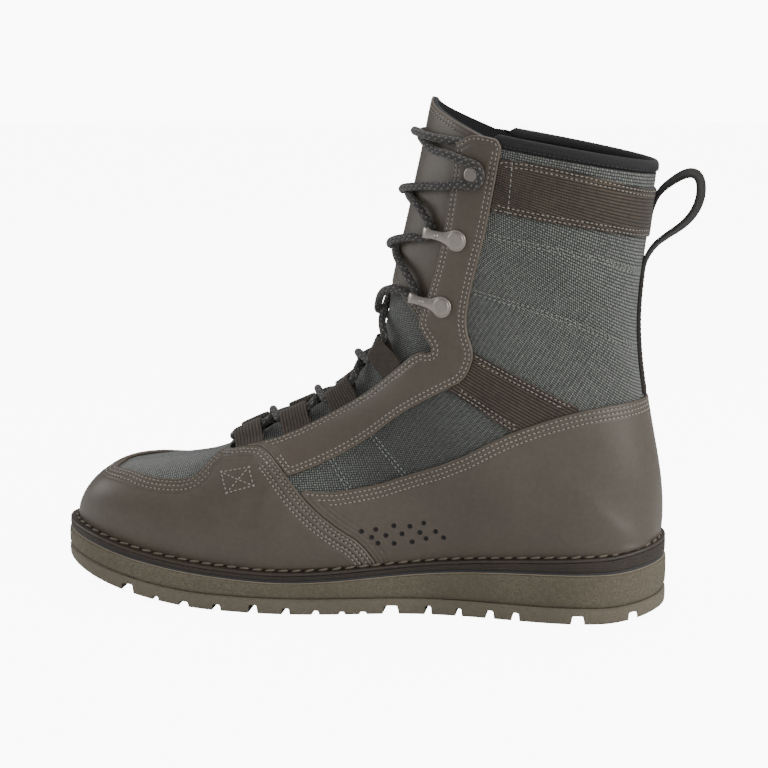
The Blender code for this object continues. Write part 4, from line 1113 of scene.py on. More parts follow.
class Repeat:
    """Geometry Nodes tree that sets one small shape along lines, at even steps."""

    def __init__(self, shape: Shape) -> None:
        """Build the tree.

        Args:
            shape: The small shape.
        """
        self.tree = bpy.data.node_groups.new(f"{shape.value} row", "GeometryNodeTree")
        face = self.tree.interface
        kinds = {"Geometry": "NodeSocketGeometry", **dict.fromkeys(REPEAT_SIZES, FLOAT),
                 "Material": "NodeSocketMaterial"}
        self.ids = {name: face.new_socket(name, in_out="INPUT", socket_type=kind).identifier
                    for name, kind in kinds.items()}
        face.new_socket("Geometry", in_out="OUTPUT", socket_type="NodeSocketGeometry")
        self._fill(shape)

    def _fill(self, shape: Shape) -> None:
        """Place and join the tree's nodes."""
        graph = Graph(self.tree)
        enter = graph.node("NodeGroupInput").outputs
        curve = graph.node("GeometryNodeMeshToCurve", {"Mesh": enter["Geometry"]})
        spread = graph.node("GeometryNodeCurveToPoints",
                            {"Curve": curve.outputs["Curve"], "Length": enter["Pitch"]}, mode="LENGTH")
        upward = graph.node("GeometryNodeInputNamedAttribute", {"Name": "up"}, data_type="FLOAT_VECTOR")
        along = graph.node("FunctionNodeAlignRotationToVector", {"Vector": spread.outputs["Tangent"]},
                           axis="X")
        stand = graph.node("FunctionNodeAlignRotationToVector",
                           {"Rotation": along.outputs["Rotation"], "Vector": upward.outputs["Attribute"]},
                           axis="Z", pivot_axis="X")
        loose = graph.node("FunctionNodeRandomValue",
                           {"Seed": SCATTER_SEED, 2: graph.math("MULTIPLY", enter["Scatter"], -1),
                            3: enter["Scatter"]}, data_type="FLOAT")
        slant = graph.math("ADD", loose.outputs[1], enter["Turn"])
        twist = graph.node("ShaderNodeCombineXYZ", {"Z": slant})
        turn = graph.node("FunctionNodeRotateRotation",
                          {"Rotation": stand.outputs["Rotation"], "Rotate By": twist.outputs["Vector"]},
                          rotation_space="LOCAL")
        if shape is Shape.STITCH:
            made = graph.node("GeometryNodeMeshUVSphere", {"Segments": 8, "Rings": 5, "Radius": 1.0})
        else:
            made = graph.node("GeometryNodeMeshCircle", {"Vertices": 8, "Radius": 1.0}, fill_type="NGON")
        size = graph.node("ShaderNodeCombineXYZ",
                          {"X": enter["Length"], "Y": enter["Width"], "Z": enter["Height"]})
        shift = graph.node("ShaderNodeCombineXYZ", {"X": enter["Shift"]})
        form = graph.node("GeometryNodeTransform",
                          {"Geometry": made.outputs["Mesh"], "Scale": size.outputs["Vector"],
                           "Translation": shift.outputs["Vector"]})
        place = graph.node("GeometryNodeInstanceOnPoints",
                           {"Points": spread.outputs["Points"], "Instance": form.outputs["Geometry"],
                            "Rotation": turn.outputs["Rotation"]})
        real = graph.node("GeometryNodeRealizeInstances", {"Geometry": place.outputs["Instances"]})
        paint = graph.node("GeometryNodeSetMaterial",
                           {"Geometry": real.outputs["Geometry"], "Material": enter["Material"]})
        graph.node("NodeGroupOutput", {"Geometry": paint.outputs["Geometry"]})

    def run(self, name: str, seams: Sequence[Seam], material: Material, **sizes: float) -> bpy.types.Object:
        """Set the shape along lines.

        Args:
            name: The piece's name.
            seams: The lines.
            material: The piece's finish.
            sizes: The tree's sizes by name.

        Returns:
            The piece as a plain mesh.
        """
        points = np.concatenate([seam.points for seam in seams])
        ups = np.concatenate([seam.normals for seam in seams])
        edges, first = [], 0
        for seam in seams:
            edges += [(first + n, first + n + 1) for n in range(len(seam.points) - 1)]
            first += len(seam.points)
        guide = bpy.data.meshes.new(name + "_line")
        guide.from_pydata(points.tolist(), edges, [])
        guide.attributes.new("up", "FLOAT_VECTOR", "POINT").data.foreach_set("vector", ups.ravel())
        holder = bpy.data.objects.new(name + "_line", guide)
        bpy.context.scene.collection.objects.link(holder)
        step = holder.modifiers.new("row", "NODES")
        step.node_group = self.tree
        for key, value in sizes.items():
            step[self.ids[key.capitalize()]] = float(value)
        step[self.ids["Material"]] = material
        graph = bpy.context.evaluated_depsgraph_get()
        mesh = bpy.data.meshes.new_from_object(holder.evaluated_get(graph))
        bpy.data.objects.remove(holder)
        mesh.name = name
        mesh.shade_smooth()
        obj = bpy.data.objects.new(name, mesh)
        bpy.context.scene.collection.objects.link(obj)
        return obj


def group(name: str, inputs: dict[str, tuple[str, object]], outputs: dict[str, str],
          fill: Callable[[Graph, bpy.types.Node], dict]) -> bpy.types.NodeTree:
    """Shader node group.

    Args:
        name: The group's name.
        inputs: Socket type and default value by input name.
        outputs: Socket type by output name.
        fill: Places the nodes and gives a socket for each output.

    Returns:
        The group.
    """
    tree = bpy.data.node_groups.new(name, "ShaderNodeTree")
    for key, (kind, value) in inputs.items():
        socket = tree.interface.new_socket(key, in_out="INPUT", socket_type=kind)
        if value is not None:
            socket.default_value = value
    for key, kind in outputs.items():
        tree.interface.new_socket(key, in_out="OUTPUT", socket_type=kind)
    graph = Graph(tree)
    enter = graph.node("NodeGroupInput")
    leave = graph.node("NodeGroupOutput")
    for key, socket in fill(graph, enter).items():
        tree.links.new(socket, leave.inputs[key])
    return tree


def weave_nodes(graph: Graph, enter: bpy.types.Node) -> dict:
    """Plain weave: yarns over and under each other, as a height, a mask of the upper yarn and a tint."""
    scaled = graph.node("ShaderNodeVectorMath", {0: enter.outputs["Place"], "Scale": 1.0}, operation="SCALE")
    graph.tree.links.new(graph.math("DIVIDE", 1.0, enter.outputs["Pitch"]), scaled.inputs["Scale"])
    bent = graph.noise(enter.outputs["Place"], 0.35, 2.0)
    apart = graph.node("ShaderNodeSeparateXYZ", {0: scaled.outputs[0]})
    wander = graph.math("MULTIPLY", graph.math("SUBTRACT", bent, 0.5), enter.outputs["Wander"])
    u = graph.math("ADD", apart.outputs[0], wander)
    v = graph.math("ADD", apart.outputs[1], wander)
    parity = graph.math("PINGPONG", graph.math("ADD", graph.math("FLOOR", u), graph.math("FLOOR", v)), 1.0)
    across_u = graph.math("SINE", graph.math("MULTIPLY", graph.math("FRACT", u), math.pi))
    across_v = graph.math("SINE", graph.math("MULTIPLY", graph.math("FRACT", v), math.pi))
    warp = graph.math("MULTIPLY", graph.math("POWER", across_u, 0.5), across_v)
    weft = graph.math("MULTIPLY", graph.math("POWER", across_v, 0.5), across_u)
    height = graph.node("ShaderNodeMix", {0: parity, 2: warp, 3: weft}).outputs[0]
    cell = graph.node("ShaderNodeCombineXYZ", {0: graph.math("FLOOR", u), 1: graph.math("FLOOR", v)})
    tint = graph.node("ShaderNodeTexWhiteNoise", {"Vector": cell.outputs[0]}).outputs["Value"]
    return {"Height": height, "Parity": parity, "Tint": tint}


def rib_nodes(graph: Graph, enter: bpy.types.Node) -> dict:
    """Ribbed webbing: cords side by side, each with short slanting threads over it."""
    apart = graph.node("ShaderNodeSeparateXYZ", {0: enter.outputs["Place"]})
    along, across = apart.outputs[0], apart.outputs[1]
    rib = graph.math("ABSOLUTE", graph.math("SINE", graph.math(
        "MULTIPLY", graph.math("DIVIDE", across, enter.outputs["Rib"]), math.pi)))
    lean = graph.math("ADD", graph.math("DIVIDE", along, enter.outputs["Thread"]),
                      graph.math("MULTIPLY", rib, 0.6))
    thread = graph.math("ABSOLUTE", graph.math("SINE", graph.math("MULTIPLY", lean, math.pi)))
    height = graph.math("ADD", graph.math("MULTIPLY", graph.math("POWER", rib, 0.6), 0.75),
                        graph.math("MULTIPLY", thread, 0.25))
    return {"Height": height, "Rib": rib}


def grain_nodes(graph: Graph, enter: bpy.types.Node) -> dict:
    """Leather grain: small cells with fine pores, and broad soft unevenness."""
    place = enter.outputs["Place"]
    cells = graph.node("ShaderNodeTexVoronoi", {"Vector": place, "Scale": 900.0, "Randomness": 0.9},
                       feature="SMOOTH_F1").outputs["Distance"]
    pores = graph.noise(place, 2200.0, 3.0, 0.6)
    broad = graph.noise(place, 55.0, 3.0, 0.55)
    fine = graph.math("ADD", graph.math("MULTIPLY", cells, 0.6), graph.math("MULTIPLY", pores, 0.4))
    return {"Height": graph.math("ADD", graph.math("MULTIPLY", fine, enter.outputs["Fine"]),
                                 graph.math("MULTIPLY", broad, enter.outputs["Broad"])),
            "Broad": broad}


def mottle_nodes(graph: Graph, enter: bpy.types.Node) -> dict:
    """Colour that drifts between two tones in large and small patches."""
    large = graph.noise(enter.outputs["Place"], 22.0, 2.0)
    small = graph.noise(enter.outputs["Place"], 420.0, 3.0, 0.65)
    share = graph.math("ADD", graph.math("MULTIPLY", large, 0.6), graph.math("MULTIPLY", small, 0.4))
    share = graph.ramp(share, 0.32, 0.68)
    return {"Color": graph.mix(share, enter.outputs["Dark"], enter.outputs["Light"]), "Patch": large}


class Library:
    """The shader groups that several finishes share."""

    def __init__(self) -> None:
        """Build the groups."""
        place = {"Place": (VECTOR, None)}
        self.weave = group("plain weave", place | {"Pitch": (FLOAT, 1.0), "Wander": (FLOAT, 0.3)},
                           {"Height": FLOAT, "Parity": FLOAT, "Tint": FLOAT}, weave_nodes)
        self.rib = group("ribbed webbing", place | {"Rib": (FLOAT, 1.2), "Thread": (FLOAT, 0.8)},
                         {"Height": FLOAT, "Rib": FLOAT}, rib_nodes)
        self.grain = group("leather grain", place | {"Fine": (FLOAT, 0.4), "Broad": (FLOAT, 0.6)},
                           {"Height": FLOAT, "Broad": FLOAT}, grain_nodes)
        self.mottle = group("mottle", place | {"Dark": (COLOUR, None), "Light": (COLOUR, None)},
                            {"Color": COLOUR, "Patch": FLOAT}, mottle_nodes)


def tone(red: float, green: float, blue: float) -> tuple[float, float, float, float]:
    """Linear colour from display values of 0 to 255."""
    def linear(value: float) -> float:
        """Linear light of one display value."""
        value /= 255
        return value / 12.92 if value <= 0.04045 else ((value + 0.055) / 1.055) ** 2.4
    return linear(red), linear(green), linear(blue), 1.0


def shade(colour: Sequence[float], share: float) -> tuple[float, ...]:
    """Colour made darker or lighter by a factor."""
    return *(value * share for value in colour[:3]), 1.0


@dataclass(frozen=True)
class Finish:
    """A surface's look: its two tones, sheen and relief.

    Attributes:
        name: The material's name.
        dark: Darker tone.
        light: Lighter tone.
        rough: Roughness.
        metal: Metallic value.
        sheen: Weight of the cloth sheen.
        coat: Weight of the waxy coat.
        bump: Strength of the relief.
        depth: Depth of the relief in metres.
    """

    name: str
    dark: tuple[float, float, float, float]
    light: tuple[float, float, float, float]
    rough: float = 0.7
    metal: float = 0.0
    sheen: float = 0.0
    coat: float = 0.0
    bump: float = 0.6
    depth: float = 0.1 * MM

    def build(self, library: Library) -> Material:
        """Make the material.

        Args:
            library: The shared groups.

        Returns:
            The material.
        """
        material = bpy.data.materials.new(self.name)
        material.use_nodes = True
        graph = Graph(material.node_tree)
        shader = material.node_tree.nodes["Principled BSDF"]
        settings = {"Roughness": self.rough, "Metallic": self.metal, "Sheen Weight": self.sheen,
                    "Sheen Roughness": 0.45, "Coat Weight": self.coat, "Coat Roughness": 0.42}
        for name, value in settings.items():
            shader.inputs[name].default_value = value
        place = graph.node("ShaderNodeTexCoord")
        colour, height = self.pattern(graph, library, place)
        graph.tree.links.new(colour, shader.inputs["Base Color"])
        if height is not None:
            relief = graph.node("ShaderNodeBump",
                                {"Height": height, "Strength": self.bump, "Distance": self.depth})
            graph.tree.links.new(relief.outputs["Normal"], shader.inputs["Normal"])
        return material

    def mottled(self, graph: Graph, library: Library, place: bpy.types.Node) -> bpy.types.NodeSocket:
        """The two tones mixed in patches over the object."""
        return graph.group(library.mottle, Place=place.outputs["Object"], Dark=self.dark,
                           Light=self.light).outputs["Color"]

    def pattern(self, graph: Graph, library: Library, place: bpy.types.Node) -> tuple:
        """Colour and height over the surface.

        Args:
            graph: The material's nodes.
            library: The shared groups.
            place: The Texture Coordinate node.

        Returns:
            The colour's socket, and the height's socket or None.
        """
        height = graph.noise(place.outputs["Object"], 1500.0, 3.0, 0.6)
        return self.mottled(graph, library, place), height


@dataclass(frozen=True)
class LeatherFinish(Finish):
    """Smooth oiled leather with pale cut edges."""

    raw: tuple[float, float, float, float] = (0.2, 0.17, 0.14, 1.0)

    def pattern(self, graph: Graph, library: Library, place: bpy.types.Node) -> tuple:
        """Grain, mottle and worn edges."""
        grain = graph.group(library.grain, Place=place.outputs["Object"], Fine=0.45, Broad=0.55)
        edge = graph.node("ShaderNodeAttribute", attribute_name="edge").outputs["Fac"]
        rubbed = graph.math("MULTIPLY", graph.ramp(edge, 0.25, 1.0), 0.75)
        colour = graph.mix(rubbed, self.mottled(graph, library, place), self.raw)
        return colour, grain.outputs["Height"]


@dataclass(frozen=True)
class WovenFinish(Finish):
    """Coarse woven nylon."""

    pitch: float = 1.18

    def pattern(self, graph: Graph, library: Library, place: bpy.types.Node) -> tuple:
        """Plain weave with painted shade in the gaps, a painted highlight on the yarns of one direction, and
        yarns of slightly different tone.
        """
        weave = graph.group(library.weave, Place=place.outputs["UV"], Pitch=self.pitch, Wander=0.35)
        base = self.mottled(graph, library, place)
        # Painted shade: the gaps between the yarns go almost black.
        gaps = graph.ramp(weave.outputs["Height"], 0.22, 0.92)
        # Painted highlight on the yarns that lie on top in one direction, mixed with a random tone for each
        # yarn.
        highlight_and_tint = graph.math("ADD", graph.math("MULTIPLY", weave.outputs["Parity"], 0.40),
                            graph.math("MULTIPLY", weave.outputs["Tint"], 0.45))
        lit = graph.mix(highlight_and_tint, base, shade(self.light, 2.1))
        colour = graph.mix(gaps, shade(self.dark, 0.08), lit)
        # Painted shade: the cloth darkens round a spot low on the medial side, below the strap, where it lies
        # in shade.
        reach = graph.node("ShaderNodeVectorMath", {0: place.outputs["Object"], 1: (-0.085, -0.040, 0.080)},
                           operation="DISTANCE").outputs["Value"]
        painted_shade_patch = graph.ramp(reach, 0.020, 0.055, 0.55, 0.0)
        colour = graph.mix(painted_shade_patch, colour, shade(self.dark, 0.25))
        return colour, weave.outputs["Height"]


@dataclass(frozen=True)
class WebbingFinish(Finish):
    """Ribbed woven webbing; its ribs run along the cloth's first direction."""

    rib: float = 1.5
    thread: float = 0.9
    turned: bool = False

    def pattern(self, graph: Graph, library: Library, place: bpy.types.Node) -> tuple:
        """Ribs with painted shade in their valleys, and small slanting threads."""
        spot = place.outputs["UV"]
        if self.turned:
            spot = graph.node("ShaderNodeVectorRotate", {"Vector": spot, "Angle": math.pi / 2},
                              rotation_type="Z_AXIS").outputs["Vector"]
        height = graph.group(library.rib, Place=spot, Rib=self.rib, Thread=self.thread).outputs["Height"]
        # Painted shade: the valleys between the ribs go almost black.
        deep = shade(self.dark, 0.10)
        return graph.mix(graph.ramp(height, 0.50, 1.0), deep, self.mottled(graph, library, place)), height


@dataclass(frozen=True)
class BraidFinish(Finish):
    """Round braided cord with pale flecks; the cloth runs round it and along it."""

    fleck: tuple[float, float, float, float] = (0.3, 0.3, 0.3, 1.0)
    around: float = 12.566
    carriers: int = 8
    pitch: float = 1.9

    def pattern(self, graph: Graph, library: Library, place: bpy.types.Node) -> tuple:
        """Strands slanting both ways, with pale flecks in a herringbone."""
        apart = graph.node("ShaderNodeSeparateXYZ", {0: place.outputs["UV"]})
        along = graph.math("DIVIDE", apart.outputs[0], self.pitch)
        across = graph.math("MULTIPLY", graph.math("DIVIDE", apart.outputs[1], self.around), self.carriers)
        right = graph.math("ADD", along, across)
        left = graph.math("SUBTRACT", along, across)
        cell = graph.math("ADD", graph.math("FLOOR", right), graph.math("FLOOR", left))
        over = graph.math("PINGPONG", cell, 1.0)
        strand_r = graph.math("SINE", graph.math("MULTIPLY", graph.math("FRACT", right), math.pi))
        strand_l = graph.math("SINE", graph.math("MULTIPLY", graph.math("FRACT", left), math.pi))
        height = graph.node("ShaderNodeMix", {0: over, 2: strand_r, 3: strand_l}).outputs[0]
        third = graph.math("FRACT", graph.math("MULTIPLY", graph.math("FLOOR", right), 0.5))
        pale = graph.math("MULTIPLY", graph.math("LESS_THAN", third, 0.2), graph.math("SUBTRACT", 1.0, over))
        pale = graph.math("MULTIPLY", pale, graph.ramp(height, 0.35, 0.9))
        shaded = graph.mix(graph.ramp(height, 0.0, 0.7), shade(self.dark, 0.3),
                           self.mottled(graph, library, place))
        return graph.mix(graph.math("MULTIPLY", pale, 0.55), shaded, self.fleck), height


@dataclass(frozen=True)
class StackFinish(Finish):
    """Edge of stacked leather: thin level layers with rough fibres."""

    layer: float = 0.85 * MM

    def pattern(self, graph: Graph, library: Library, place: bpy.types.Node) -> tuple:
        """Level lines that wander a little, over fibrous noise."""
        apart = graph.node("ShaderNodeSeparateXYZ", {0: place.outputs["UV"]})
        fibre = graph.noise(place.outputs["Object"], 650.0, 4.0, 0.7)
        rise = graph.math("ADD", graph.math("DIVIDE", apart.outputs[1], self.layer / MM),
                          graph.math("MULTIPLY", fibre, 0.35))
        line = graph.math("ABSOLUTE", graph.math("SINE", graph.math("MULTIPLY", rise, math.pi)))
        height = graph.math("ADD", graph.math("MULTIPLY", graph.math("POWER", line, 0.4), 0.6),
                            graph.math("MULTIPLY", fibre, 0.4))
        deep = shade(self.dark, 0.15)
        return graph.mix(graph.ramp(line, 0.05, 0.75), deep, self.mottled(graph, library, place)), height


@dataclass(frozen=True)
class FoamFinish(Finish):
    """Moulded rubber or foam with a fine pebbled skin."""

    pebble: float = 900.0

    def pattern(self, graph: Graph, library: Library, place: bpy.types.Node) -> tuple:
        """Fine pebbles with a little dirt in them."""
        pebble = graph.node("ShaderNodeTexVoronoi", {"Vector": place.outputs["Object"], "Scale": self.pebble},
                            feature="SMOOTH_F1").outputs["Distance"]
        speck = graph.noise(place.outputs["Object"], self.pebble * 1.6, 2.0, 0.6)
        height = graph.math("ADD", graph.math("MULTIPLY", pebble, 0.7), graph.math("MULTIPLY", speck, 0.3))
        deep = shade(self.dark, 0.78)
        base = self.mottled(graph, library, place)
        return graph.mix(graph.ramp(speck, 0.25, 0.65), deep, base), height


FINISHES = {
    "leather": LeatherFinish("oiled leather", tone(68, 60, 50), tone(82, 73, 62), rough=0.50, coat=0.12,
                             bump=0.35, depth=0.12 * MM, raw=tone(100, 89, 77)),
    "fabric": WovenFinish("woven nylon", tone(78, 81, 77), tone(104, 106, 101), rough=0.80, sheen=0.2,
                          bump=0.75, depth=0.30 * MM),
    "webbing": WebbingFinish("ribbed webbing", tone(52, 42, 33), tone(100, 86, 70), rough=0.82, sheen=0.15,
                             bump=0.8, depth=0.35 * MM),
    "loop_webbing": WebbingFinish("loop webbing", tone(54, 45, 36), tone(82, 70, 57), rough=0.82, sheen=0.15,
                                  bump=0.9, depth=0.35 * MM, rib=1.1, thread=0.8, turned=True),
    "black_trim": WovenFinish("black binding", tone(17, 17, 18), tone(28, 28, 29), rough=0.8, sheen=0.05,
                              bump=0.5, depth=0.12 * MM, pitch=0.7),
    "lining": WovenFinish("black lining", tone(17, 17, 18), tone(28, 28, 29), rough=0.9, sheen=0.1,
                          bump=0.5, depth=0.12 * MM, pitch=0.9),
    "lace_cord": BraidFinish("braided lace", tone(40, 37, 35), tone(56, 52, 49), rough=0.75, sheen=0.2,
                             bump=0.9, depth=0.25 * MM, fleck=tone(132, 128, 120)),
    "hook_metal": Finish("satin metal", tone(142, 135, 128), tone(164, 156, 148), rough=0.38, metal=0.9,
                         bump=0.12, depth=0.03 * MM),
    "lug_rubber": FoamFinish("lug rubber", tone(97, 90, 75), tone(117, 109, 93), rough=0.72, bump=0.35,
                             depth=0.10 * MM, pebble=1300.0),
    "wedge_foam": FoamFinish("wedge foam", tone(87, 81, 66), tone(109, 102, 86), rough=0.86, bump=0.7,
                             depth=0.25 * MM, pebble=700.0),
    "dark_rubber": Finish("dark rubber", tone(34, 34, 35), tone(48, 48, 49), rough=0.62, bump=0.3),
    "edge_leather": StackFinish("stacked leather", tone(35, 28, 21), tone(60, 49, 38), rough=0.68, bump=0.8,
                                depth=0.35 * MM),
    "insole_felt": Finish("felted footbed", tone(38, 38, 37), tone(56, 55, 53), rough=0.95, sheen=0.3,
                          bump=0.8, depth=0.3 * MM),
    "thread": Finish("sewing thread", tone(130, 124, 114), tone(158, 152, 142), rough=0.62, sheen=0.2,
                     bump=0.5, depth=0.05 * MM),
    "grey_thread": Finish("grey sewing thread", tone(120, 122, 116), tone(148, 150, 143), rough=0.62,
                          bump=0.5, depth=0.05 * MM),
    "brown_thread": Finish("brown sewing thread", tone(84, 74, 62), tone(108, 96, 82), rough=0.62, bump=0.5,
                           depth=0.05 * MM),
    "dark_thread": Finish("black sewing thread", tone(40, 40, 40), tone(58, 58, 58), rough=0.6, bump=0.5,
                          depth=0.05 * MM),
    "strap_webbing": WebbingFinish("strap webbing", tone(26, 22, 18), tone(44, 37, 31), rough=0.85,
                                   sheen=0.03, bump=0.8, depth=0.3 * MM, rib=1.2, thread=0.9),
    "welt": LeatherFinish("welt leather", tone(40, 32, 25), tone(56, 45, 35), rough=0.52, coat=0.15, bump=0.5,
                          depth=0.15 * MM, raw=tone(56, 45, 35)),
    "welt_thread": Finish("welt thread", tone(84, 76, 65), tone(110, 101, 88), rough=0.6, bump=0.6),
    # Painted shade: dark marks that stand for the shade inside needle holes and drain holes.
    "hole": Finish("needle hole", tone(16, 14, 12), tone(24, 21, 18), rough=0.9, bump=0.2),
    "pale_line": Finish("pale midsole line", tone(120, 108, 92), tone(140, 128, 110), rough=0.8, bump=0.3),
}


def outline_of(*runs: Sequence, rounds: int = 1) -> Array:
    """Closed side view outline in metres from runs of shares, with its corners a little softened."""
    points = np.concatenate([LAST.side_points(run) for run in runs])
    return smoothed(points, rounds, closed=True)


def depth_in(outline: Array) -> Callable[[Array], Array]:
    """Rule for the depth of side view places inside an outline."""
    return lambda flat: inside_depth(flat, outline)


def depth_out(outline: Array, gap: float = 0.0) -> Callable[[Array], Array]:
    """Rule for the distance of side view places outside an outline, less a gap."""
    return lambda flat: -inside_depth(flat, outline) - gap


def ring_loft(rings: Array, closed: bool = True, caps: bool = False) -> tuple[Array, list]:
    """Faces through rings of equally many points, each ring closed on itself.

    Args:
        rings: Points by ring.
        closed: Whether each ring runs back to its start.
        caps: Whether the first and last ring are filled.

    Returns:
        The points and the faces.
    """
    rings = np.asarray(rings)
    count, size = rings.shape[:2]
    faces = []
    for i in range(count - 1):
        for j in range(size if closed else size - 1):
            a, b = i * size + j, i * size + (j + 1) % size
            faces.append((a, b, b + size, a + size))
    if caps:
        faces.append(tuple(range(size))[::-1])
        faces.append(tuple(range((count - 1) * size, count * size)))
    return rings.reshape(-1, 3), faces


def outwards(obj: bpy.types.Object) -> bpy.types.Object:
    """Turn a closed piece's faces outwards."""
    shell = bmesh.new()
    shell.from_mesh(obj.data)
    bmesh.ops.recalc_face_normals(shell, faces=shell.faces)
    if shell.calc_volume(signed=True) < 0:
        bmesh.ops.reverse_faces(shell, faces=shell.faces)
    shell.to_mesh(obj.data)
    shell.free()
    return obj


def swept(line: Array, across: Array, profile: Callable[[float], Array]) -> Array:
    """Rings of a profile carried along a line.

    Args:
        line: Points of the line.
        across: The profile's second direction at each point.
        profile: Its places for a share of the line, as (second direction, third direction).

    Returns:
        The rings' points.
    """
    along = unit(np.gradient(line, axis=0))
    side = unit(across - np.sum(across * along, 1)[:, None] * along)
    up = np.cross(along, side)
    rings = []
    for number, (point, right, top) in enumerate(zip(line, side, up)):
        places = profile(number / (len(line) - 1))
        rings.append(point + places[:, :1] * right + places[:, 1:] * top)
    return np.array(rings)


@dataclass
class Kit:
    """What every sub-assembly works with: finishes and the two repeats."""

    materials: dict[str, Material]
    stitch: Repeat
    hole: Repeat
    thread_rise: float = 0.06 * MM
    hole_rise: float = 0.05 * MM
    hole_length: float = 0.40 * MM

    def sew(self, name: str, seams: Sequence[Seam], slot: str, pitch: float = 2.35 * MM,
            length: float = 0.84 * MM, width: float = 0.31 * MM, thread: str = "thread",
            holes: bool = True, turn: float = 0.0) -> None:
        """Sew lines: stitches lying in their groove, with a dark mark between each two, painted shade of a
        needle hole.

        Args:
            name: The piece's name.
            seams: The lines.
            slot: Material slot in the record.
            pitch: Distance from stitch to stitch.
            length: Half the length of a stitch.
            width: Half its width.
            thread: Finish of the thread.
            holes: Whether the dark marks of painted needle-hole shade show between the stitches.
            turn: Slant of each stitch in radians.
        """
        seams = [seam for seam in seams if seam.length() > 2 * pitch]
        if not seams:
            return
        raised = [Seam(seam.points + seam.normals * self.thread_rise, seam.normals) for seam in seams]
        dress(self.stitch.run(name, raised, self.materials[thread], pitch=pitch, length=length, width=width,
                              height=width * 0.8, shift=0.0, scatter=0.05, turn=turn), slot)
        if not holes:
            return
        # Painted shade: flat dark ovals stand for the shade inside the needle holes.
        lifted = [Seam(seam.points + seam.normals * self.hole_rise, seam.normals) for seam in seams]
        dress(self.hole.run(name + "_holes", lifted, self.materials["hole"], pitch=pitch,
                            length=self.hole_length, width=width * 1.1, height=1.0, shift=pitch / 2,
                            scatter=0.0), slot)


